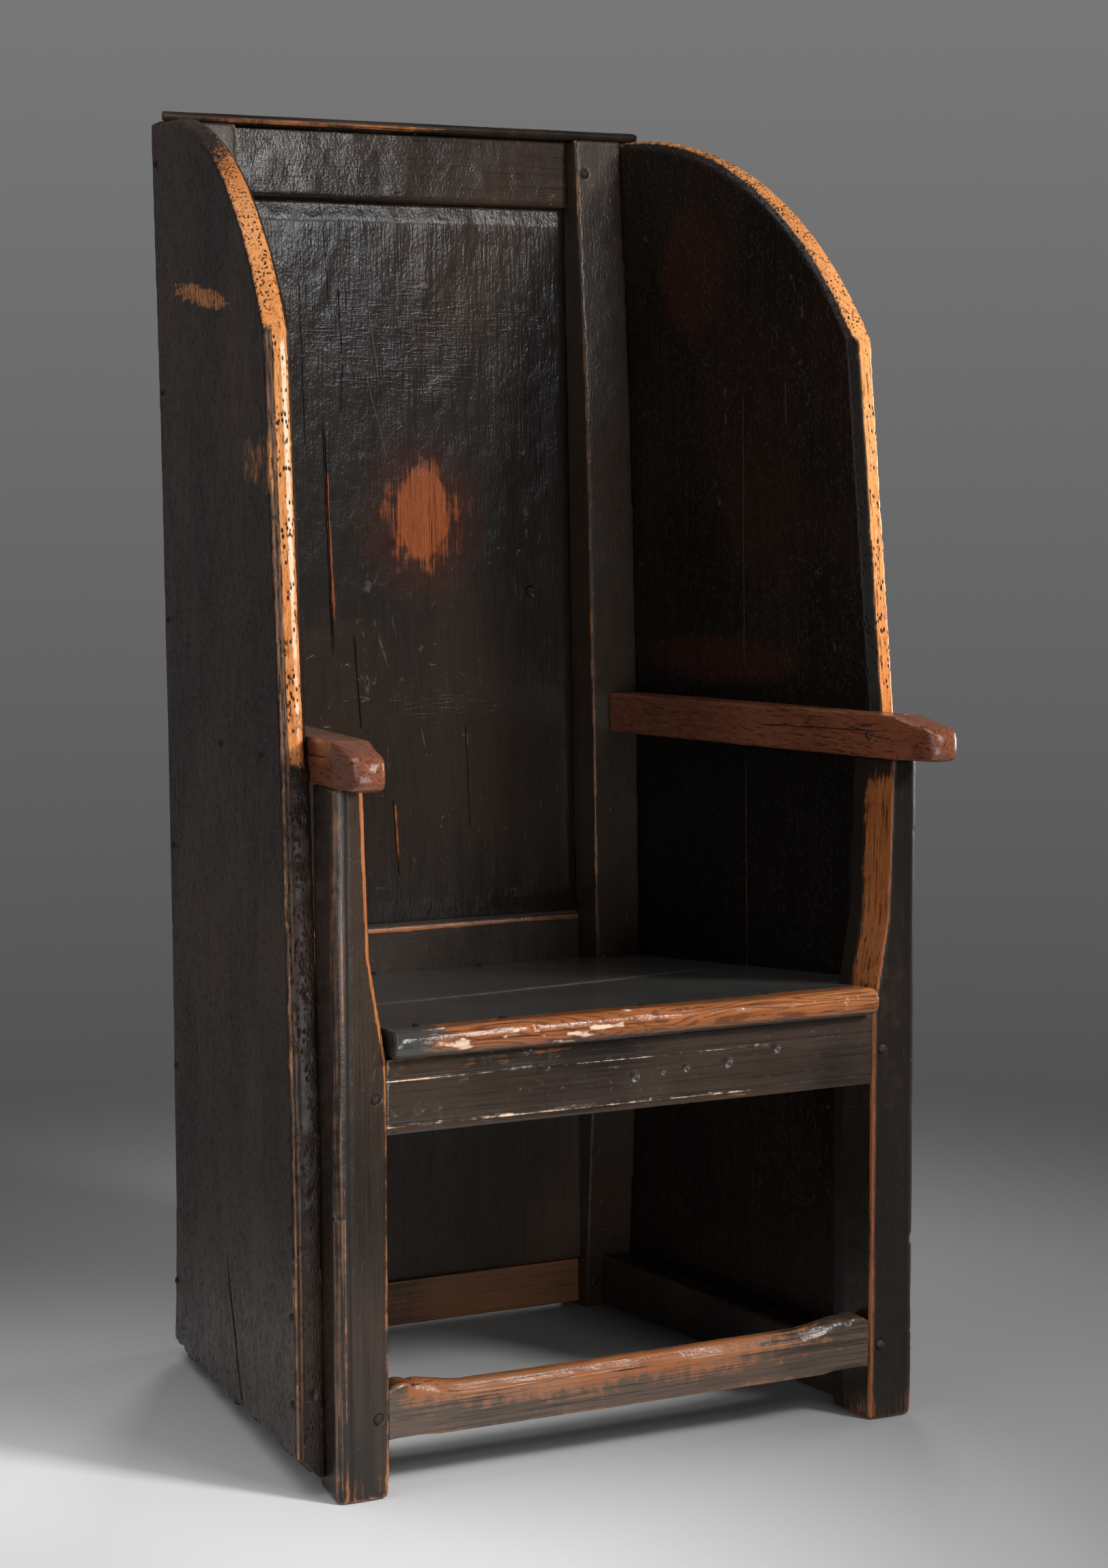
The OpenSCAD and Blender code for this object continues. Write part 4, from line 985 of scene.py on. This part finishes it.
def panel_extra(f):
    """Rubbed spot, cracks, old tool marks and the knot hole of the fielded panel."""
    spot = patch(f, (16, 0, 850), (36, None, 56), 0.30)
    warm = patch(f, (16, 0, 850), (58, None, 74), 0.55, 2.0) * 0.50
    halo = patch(f, (16, 0, 848), (76, None, 92), 0.35, 8.0) * 0.8
    crack = scars(f, "Z", "x", (
        ((-93, 950), (-87, 700), 2.0), ((-64, 733), (-58, 626), 1.1),
        ((-24, 563), (-19, 474), 0.9), ((-74, 1081), (-70, 1006), 0.7),
        ((-70, 1006), (-74, 949), 0.8), ((-90, 1166), (-84, 1056), 0.6),
        ((-116, 1090), (-113, 900), 0.6), ((60, 640), (63, 520), 0.6)))
    score = scars(f, "Z", "x", (((-42, 1075), (-30, 985), 0.8), ((-48, 1010), (-22, 905), 0.7),
                                ((20, 1130), (8, 1062), 0.8)))
    side = scar(f, "Z", "x", (-91.2, 908), (-85.5, 735), 3.6) * 0.70
    low = scar(f, "Z", "x", (-22.0, 560), (-18.0, 480), 3.0) * 0.5
    across, above = f.x - 0.1375, f.z - 0.770
    hole = 1.0 - (across * across + above * above * 0.75).step(0.0000135, 0.000036)
    tools = f.noise((40.0, 40.0, 420.0), 1.0, 13.0, 0.5, 0.5).step(0.50, 0.68)
    torn = patch(f, (-8, 0, 1030), (95, None, 62), 0.8, 1.0)
    torn = torn.most(patch(f, (95, 0, 1050), (60, None, 22), 0.8, 3.0) * 0.7)
    torn = torn.most(patch(f, (40, 0, 655), (90, None, 18), 0.8, 5.0) * 0.5)
    rain = f.noise((300.0, 300.0, 34.0), 1.0, 15.0)
    depth = (f.y - (FRONT_LINE + BACK_FOOT[0] * MM)) * math.cos(BACK_TILT)
    depth = depth - (f.z - BACK_FOOT[1] * MM) * math.sin(BACK_TILT)
    front = 1.0 - depth.step((PANEL_EDGE + 1.0) * MM, (PANEL_EDGE + 3.0) * MM)
    return {"bare": spot.most(warm).most(side).most(low) * front, "crack": crack * front,
            "gouge": hole * front, "glow": halo * front, "score": score * front,
            "heave": tools * torn * 0.16 + rain * 0.22}


class ARMCHAIR_OT_back(bpy.types.Operator):
    """Make the raked back: rails, panels and cap"""
    bl_idname = "armchair.back"
    bl_label = "Back"

    def execute(self, context):
        c = looks()
        panel = wood("panel wood", "Z", c.panel, shaded(c.brown, 0.6), c.spot, c.spot_pale,
                     streaks=0.35, ripple=0.95, gloss=0.22, extra=panel_extra, shine=0.9)
        # The lower panel, the rail at the back of the seat and the foot rail get lighter copies of
        # the patina: painted light in the shade under the seat
        plain = wood("plain panel wood", "Z", shaded(c.patina, 2.4), shaded(c.brown, 1.6),
                     gloss=0.40)
        across = wood("crosswise frame wood", "X", ripple=0.6, gloss=0.19, shine=0.8)
        behind = wood("seat back rail wood", "X", shaded(c.patina, 2.4), shaded(c.brown, 1.2))
        foot = wood("foot rail wood", "X", shaded(c.brown, 1.6), shaded(c.tread, 0.8), c.tread,
                    c.bare, streaks=0.6, ripple=0.4, gloss=0.42, brown_bias=0.2)
        ledge = wood("cap wood", "X", streaks=0.5, gloss=0.34, shine=0.5)
        worn_piece("back_panel", panel, back_place(), COARSE_CELL, keep=0.35)
        worn_piece("lower_back_panel", plain, row_place(), COARSE_CELL, keep=0.25)
        for node, finish, cell, marks in (
                ("top_rail", across, wear().cell, marks_top_rail),
                ("back_seat_rail", behind, wear().cell, marks_back_rail),
                ("back_foot_rail", foot, wear().cell, marks_foot_rail),
                ("cap_board", ledge, FINE_CELL, marks_cap)):
            worn_piece(node, finish, row_place(), cell, marks=marks)
        return {"FINISHED"}


def seat_extra(f):
    return {"crack": scar(f, "X", "y", (-183, 80), (-178, 127), 0.8)}


class ARMCHAIR_OT_seat(bpy.types.Operator):
    """Make the seat boards and what carries them"""
    bl_idname = "armchair.seat"
    bl_label = "Seat"

    def execute(self, context):
        c = looks()
        seat = wood("seat wood", "X", c.seat, shaded(c.seat, 0.8), shaded(c.bare, 0.8),
                    shaded(c.pale, 0.75), streaks=0.25, ripple=0.45, gloss=0.20,
                    extra=seat_extra, flame=True, shine=1.9)
        rail = wood("rail wood", "X", streaks=0.6, ripple=0.6, gloss=0.24, brown_bias=0.04,
                    shine=1.6)
        worn_piece("seat_board_front", seat, seat_place(), wear().cell, keep=0.4,
                   shape=shape_seat, marks=marks_seat, melt=(nosing_end, 16))
        worn_piece("seat_board_rear", seat, seat_place(), COARSE_CELL, keep=0.3)
        worn_piece("front_seat_rail", rail, row_place(), FINE_CELL, keep=0.45,
                   shape=shape_seat_rail, marks=marks_seat_rail)
        worn_piece("seat_batten", rail, row_place(), COARSE_CELL)
        for word in ("left", "right"):
            worn_piece(f"side_seat_rail_{word}", rail, side_place(word == "right"),
                       COARSE_CELL, keep=0.4)
        return {"FINISHED"}


def arm_extra(f):
    """Long drying cracks along the right arm and short ones near both tips."""
    lines = scars(f, "Y", "x", (((276, -265), (283, -120), 0.9, 0.002),
                                ((266, -180), (262, 40), 0.8, 0.002),
                                ((-262, -290), (-268, -200), 0.8, 0.0016)))
    return {"crack": lines.most(scar(f, "Y", "z", (655, -240), (648, -30), 0.8, 0.0016)) * 0.8}


class ARMCHAIR_OT_arms(bpy.types.Operator):
    """Make the two arms"""
    bl_idname = "armchair.arms"
    bl_label = "Arms"

    def execute(self, context):
        c = looks()
        finish = wood("arm wood", "Y", shaded(c.arm, 0.5), c.arm, c.tread, c.bare, streaks=1.2,
                      gloss=0.23, brown_bias=0.16, specks=0.6, extra=arm_extra, shine=1.8)
        for word in ("left", "right"):
            worn_piece(f"arm_{word}", finish, side_place(word == "right"),
                       FINE_CELL, shape=shape_arm, marks=marks_arm, melt=(arm_tip, 70))
        return {"FINISHED"}


class ARMCHAIR_OT_stretchers(bpy.types.Operator):
    """Make the stretchers near the floor"""
    bl_idname = "armchair.stretchers"
    bl_label = "Stretchers"

    def execute(self, context):
        c = looks()
        tread = wood("tread wood", "X", shaded(c.patina, 2.2), shaded(c.brown, 1.9), c.tread,
                     c.bare, streaks=1.0, ripple=0.6, gloss=0.24, brown_bias=0.15, shine=1.9)
        side = wood("side stretcher wood", "Y", streaks=0.6, ripple=0.4, gloss=0.42)
        worn_piece("front_stretcher", tread, row_place(), 1.4,
                   shape=shape_stretcher, marks=marks_stretcher, melt=(stretcher_ends, 60))
        for word in ("left", "right"):
            worn_piece(f"side_stretcher_{word}", side, side_place(word == "right"),
                       2.0, keep=0.4)
        return {"FINISHED"}


# Pegs and nails: one geometry node tree sets a small turned or hammered shape on every point

def solids_of(node):
    """End point, direction and length of each long small solid of a CAD node."""
    work = bmesh.new()
    work.from_mesh(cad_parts[node].data)
    bmesh.ops.remove_doubles(work, verts=work.verts, dist=TINY)
    left = set(work.verts)
    found = []
    while left:
        group = [left.pop()]
        for vert in group:
            for edge in vert.link_edges:
                other = edge.other_vert(vert)
                if other in left:
                    left.remove(other)
                    group.append(other)
        found.append(np.array([vert.co[:] for vert in group]))
    work.free()
    out = []
    for points in sorted(found, key=lambda a: tuple(np.round(a.mean(0), 4))):
        middle = points.mean(0)
        _, _, axes = np.linalg.svd(points - middle)
        axis = axes[0]
        span = (points - middle) @ axis
        away = np.linalg.norm((points - middle) - np.outer(span, axis), axis=1)
        if span[np.argmax(away)] < 0:
            axis, span = -axis, -span
        ends = [points[span > span.max() - END_SLICE], points[span < span.min() + END_SLICE]]
        centre = 0.5 * (ends[0].mean(0) + ends[1].mean(0))
        length = span.max() - span.min()
        out.append((centre + axis * length / 2, axis, length))
    return out


def fastener_tree():
    """A head and a shank on every point, turned to face outwards, each a little different."""
    tree = bpy.data.node_groups.new("fasteners", "GeometryNodeTree")
    for name, kind in (
            ("Geometry", "Geometry"), ("Head Radius", "Float"), ("Crown Radius", "Float"),
            ("Head Height", "Float"), ("Shank Radius", "Float"), ("Sides", "Int"),
            ("Rough", "Float"), ("Seed", "Int"), ("Material", "Material")):
        tree.interface.new_socket(name, in_out="INPUT", socket_type=f"NodeSocket{kind}")
    tree.interface.new_socket("Geometry", in_out="OUTPUT", socket_type="NodeSocketGeometry")
    given = tree.nodes.new("NodeGroupInput").outputs

    def add(kind, sockets=None, output=0, **settings):
        return add_node(tree, kind, settings, sockets).outputs[output]

    def maths(kind, one, two):
        return add("ShaderNodeMath", {0: one, 1: two}, operation=kind)

    def scaled(vector, factor):
        return add("ShaderNodeVectorMath", {0: vector, "Scale": factor}, operation="SCALE")

    def moved(shape, shift):
        return add("GeometryNodeTranslateInstances", {
            "Instances": shape, "Local Space": False, "Translation": shift})

    # One uneven head and one plain shank
    head = add("GeometryNodeMeshCone", {
        "Vertices": given["Sides"], "Side Segments": 3, "Fill Segments": 3,
        "Radius Top": given["Crown Radius"], "Radius Bottom": given["Head Radius"],
        "Depth": given["Head Height"]}, fill_type="TRIANGLE_FAN")
    uneven = add("ShaderNodeTexNoise", {
        "Vector": add("GeometryNodeInputPosition"), "Scale": 260.0, "Detail": 1.0},
        noise_dimensions="4D")
    push = maths("MULTIPLY", maths("SUBTRACT", uneven, 0.5), given["Rough"])
    head = add("GeometryNodeSetPosition", {
        "Geometry": head, "Offset": scaled(add("GeometryNodeInputNormal"), push)})
    shank = add("GeometryNodeMeshCone", {
        "Vertices": given["Sides"], "Side Segments": 4, "Radius Top": given["Shank Radius"],
        "Radius Bottom": given["Shank Radius"], "Depth": 1.0}, fill_type="NGON")

    # Turn of each point
    facing = add("GeometryNodeInputNamedAttribute", {"Name": "facing"}, data_type="FLOAT_VECTOR")
    reach = add("GeometryNodeInputNamedAttribute", {"Name": "reach"}, data_type="FLOAT")
    aim = add("FunctionNodeAlignRotationToVector", {"Vector": facing}, axis="Z")
    chance = add("FunctionNodeRandomValue", {2: 0.0, 3: 6.28, "Seed": given["Seed"]}, 1,
                 data_type="FLOAT")
    spin = add("FunctionNodeAxisAngleToRotation", {"Axis": (0, 0, 1), "Angle": chance})
    turn = add("FunctionNodeRotateRotation", {"Rotation": aim, "Rotate By": spin},
               rotation_space="LOCAL")

    # Shanks reach down from the points, heads sit just under them
    heads = add("GeometryNodeInstanceOnPoints", {
        "Points": given["Geometry"], "Instance": head, "Rotation": turn})
    shanks = add("GeometryNodeInstanceOnPoints", {
        "Points": given["Geometry"], "Instance": shank, "Rotation": turn,
        "Scale": add("ShaderNodeCombineXYZ", {"X": 1.0, "Y": 1.0, "Z": reach})})
    join = add_node(tree, "GeometryNodeJoinGeometry")
    tree.links.new(moved(shanks, scaled(scaled(facing, reach), -1.0)), join.inputs[0])
    lift = scaled(facing, maths("MULTIPLY", given["Head Height"], -1.0))
    tree.links.new(moved(heads, lift), join.inputs[0])
    real = add("GeometryNodeRealizeInstances", {"Geometry": join.outputs[0]})
    dressed = add("GeometryNodeSetMaterial", {"Geometry": real, "Material": given["Material"]})
    add_node(tree, "NodeGroupOutput", sockets={0: dressed})
    return tree


def fasteners(tree, node, name, sizes):
    """Every solid of a CAD node as a small shape with its own head and shank."""
    found = solids_of(node)
    if not found:
        raise RuntimeError(f"{node} holds no solids")
    mesh = bpy.data.meshes.new(name)
    mesh.from_pydata([tuple(top) for top, _, _ in found], [], [])
    mesh.attributes.new("facing", "FLOAT_VECTOR", "POINT").data.foreach_set(
        "vector", np.array([axis for _, axis, _ in found], np.float32).ravel())
    note(mesh, "reach", [length for _, _, length in found])
    obj = bpy.data.objects.new(name, mesh)
    bpy.context.scene.collection.objects.link(obj)
    modifier = obj.modifiers.new("fasteners", "NODES")
    modifier.node_group = tree
    for item in tree.interface.items_tree:
        if item.in_out == "INPUT" and item.name in sizes:
            modifier[item.identifier] = sizes[item.name]
    baked(obj)
    settle(obj, [node])


class ARMCHAIR_OT_fasteners(bpy.types.Operator):
    """Make the wooden pegs and hand made nails"""
    bl_idname = "armchair.fasteners"
    bl_label = "Pegs and nails"

    def execute(self, context):
        c = looks()
        peg = Finish("peg wood")
        ring = peg.noise((500.0, 500.0, 500.0), 3.0)
        colour = peg.mix(ring.step(0.3, 0.7), tone(c.patina, 0.7), tone(c.brown))
        peg_wood = peg.close(colour, ring * 0.3 + 0.35, ring, 0.0006, specular_ior_level=c.shine)
        iron = Finish("nail iron")
        rust = iron.noise((700.0, 700.0, 700.0), 3.0)
        colour = iron.mix(rust.step(0.45, 0.7), tone(c.iron), RUST)
        nail_iron = iron.close(colour, rust * 0.3 + 0.45, rust, 0.0005, metallic=0.35)
        tree = fastener_tree()
        nail = {"Head Radius": 0.0038, "Crown Radius": 0.0021, "Head Height": 0.0016,
                "Shank Radius": 0.0016, "Sides": 9, "Rough": 0.0012, "Seed": wear().seed,
                "Material": nail_iron}
        for group in ("wing_nails", "cap_nails", "seat_nails"):
            fasteners(tree, group, f"forged_{group}", nail)
        for group, radius in (("frame_pegs", 0.0045), ("arm_pegs", 0.0028)):
            sizes = {**nail, "Head Radius": radius, "Crown Radius": 0.9 * radius,
                     "Head Height": 0.0003, "Shank Radius": radius, "Sides": 10,
                     "Rough": 0.0004, "Material": peg_wood}
            fasteners(tree, group, f"cleft_{group}", sizes)
        return {"FINISHED"}


class ARMCHAIR_OT_studio(bpy.types.Operator):
    """Make the floor, lamps, backdrop and camera"""
    bl_idname = "armchair.studio"
    bl_label = "Studio"

    def execute(self, context):
        studio = context.scene.chair_studio
        self.floor(studio)
        for name, setup in LAMPS.items():
            self.lamp(f"{name} lamp", getattr(studio, name), *setup)
        bpy.data.objects["key lamp"].visible_glossy = False
        self.sky(studio)
        self.camera()
        context.scene.view_settings.view_transform = "Standard"
        return {"FINISHED"}

    def floor(self, studio):
        work = bmesh.new()
        bmesh.ops.create_circle(work, cap_ends=True, radius=14.0, segments=96)
        mesh = bpy.data.meshes.new("studio_floor")
        work.to_mesh(mesh)
        work.free()
        floor = bpy.data.objects.new("studio_floor", mesh)
        bpy.context.scene.collection.objects.link(floor)
        f = Finish("studio floor")
        # The floor's colour paints a pool of light at the front left that falls off to painted
        # shade on the right and at the back
        side = (f.x + 0.80) * 1.20
        front = f.y + 0.52
        bright = root(side * side + front * front).step(0.45, 1.45)
        away = root(f.x * f.x + f.y * f.y).step(0.45, 1.7)
        colour = f.mix(bright, tone(studio.floor), tone(studio.shade))
        grain = f.noise((90.0, 90.0, 90.0), 3.0)
        mesh.materials.append(f.close(colour, grain * 0.1 + 0.8, grain, 0.0002,
                                      specular_ior_level=0.1, alpha=1.0 - away))

    def lamp(self, name, power, where, aim, width, height, spread):
        data = bpy.data.lights.new(name, "AREA")
        data.shape = "RECTANGLE"
        data.size = width
        data.size_y = height
        data.energy = power
        data.spread = math.radians(spread)
        lamp = bpy.data.objects.new(name, data)
        lamp.location = where
        lamp.visible_camera = False
        lamp.rotation_euler = (Vector(aim) - Vector(where)).to_track_quat("-Z", "Y").to_euler()
        bpy.context.scene.collection.objects.link(lamp)

    def sky(self, studio):
        world = bpy.data.worlds.new("studio air")
        bpy.context.scene.world = world
        world.use_nodes = True
        tree = world.node_tree
        tree.nodes.clear()

        def add(kind, sockets=None, output=0):
            return add_node(tree, kind, sockets=sockets).outputs[output]

        height = add("ShaderNodeSeparateXYZ", {
            0: add("ShaderNodeTexCoord", output="Generated")}, "Z")
        # The backdrop seen by the camera grows darker towards the floor: painted shade
        rise = add("ShaderNodeMapRange", {0: height, 1: -0.20, 2: 0.13})
        fade = add_node(tree, "ShaderNodeValToRGB", sockets={0: rise})
        for stop, strength in zip(fade.color_ramp.elements, (0.50, 1.10)):
            stop.color = tone(studio.backdrop, strength)
        seen = add("ShaderNodeBackground", {"Color": fade.outputs[0]})
        light = add("ShaderNodeBackground", {"Color": AIR_LIGHT})
        rays = add("ShaderNodeLightPath", output="Is Camera Ray")
        choice = add("ShaderNodeMixShader", {0: rays, 1: light, 2: seen})
        add_node(tree, "ShaderNodeOutputWorld", sockets={0: choice})

    def camera(self):
        yaw, pitch, roll = (math.radians(angle) for angle in CAMERA_TURN)
        ahead = Vector((math.sin(yaw) * math.cos(pitch), math.cos(yaw) * math.cos(pitch),
                        math.sin(pitch)))
        right = Vector((math.cos(yaw), -math.sin(yaw), 0))
        up = right.cross(ahead)
        level = math.cos(roll) * right + math.sin(roll) * up
        upright = -math.sin(roll) * right + math.cos(roll) * up
        turn = Matrix((level, upright, -ahead)).transposed().to_4x4()
        data = bpy.data.cameras.new("studio camera")
        data.sensor_fit = "VERTICAL"
        data.sensor_height = 36.0
        data.lens = CAMERA_FOCUS / PHOTO_HEIGHT * data.sensor_height
        data.clip_end = 60.0
        camera = bpy.data.objects.new("studio camera", data)
        camera.matrix_world = Matrix.Translation(CAMERA_PLACE) @ turn
        bpy.context.scene.collection.objects.link(camera)
        bpy.context.scene.camera = camera


class ARMCHAIR_PT_steps(bpy.types.Panel):
    """Lists the chair's settings and steps"""
    bl_label = "Armchair"
    bl_idname = "ARMCHAIR_PT_steps"
    bl_space_type = "VIEW_3D"
    bl_region_type = "UI"
    bl_category = "Armchair"

    def draw(self, context):
        for group in SETTINGS:
            column = self.layout.column()
            for name in SETTINGS[group].__annotations__:
                column.prop(getattr(context.scene, group), name)
        for step in STEPS:
            self.layout.operator(step.bl_idname)


SETTINGS = {"chair_looks": ChairLooks, "chair_wear": ChairWear, "chair_studio": ChairStudio}
STEPS = (ARMCHAIR_OT_boards, ARMCHAIR_OT_posts, ARMCHAIR_OT_back, ARMCHAIR_OT_seat,
         ARMCHAIR_OT_arms, ARMCHAIR_OT_stretchers, ARMCHAIR_OT_fasteners, ARMCHAIR_OT_studio)
CLASSES = (*SETTINGS.values(), *STEPS, ARMCHAIR_PT_steps)


def register():
    for item in CLASSES:
        bpy.utils.register_class(item)
    for name, group in SETTINGS.items():
        setattr(bpy.types.Scene, name, PointerProperty(type=group))


def unregister():
    for name in SETTINGS:
        delattr(bpy.types.Scene, name)
    for item in reversed(CLASSES):
        bpy.utils.unregister_class(item)


def main():
    register()
    bpy.ops.armchair.boards()
    bpy.ops.armchair.posts()
    bpy.ops.armchair.back()
    bpy.ops.armchair.seat()
    bpy.ops.armchair.arms()
    bpy.ops.armchair.stretchers()
    bpy.ops.armchair.fasteners()
    bpy.ops.armchair.studio()


if __name__ == "__main__":
    main()
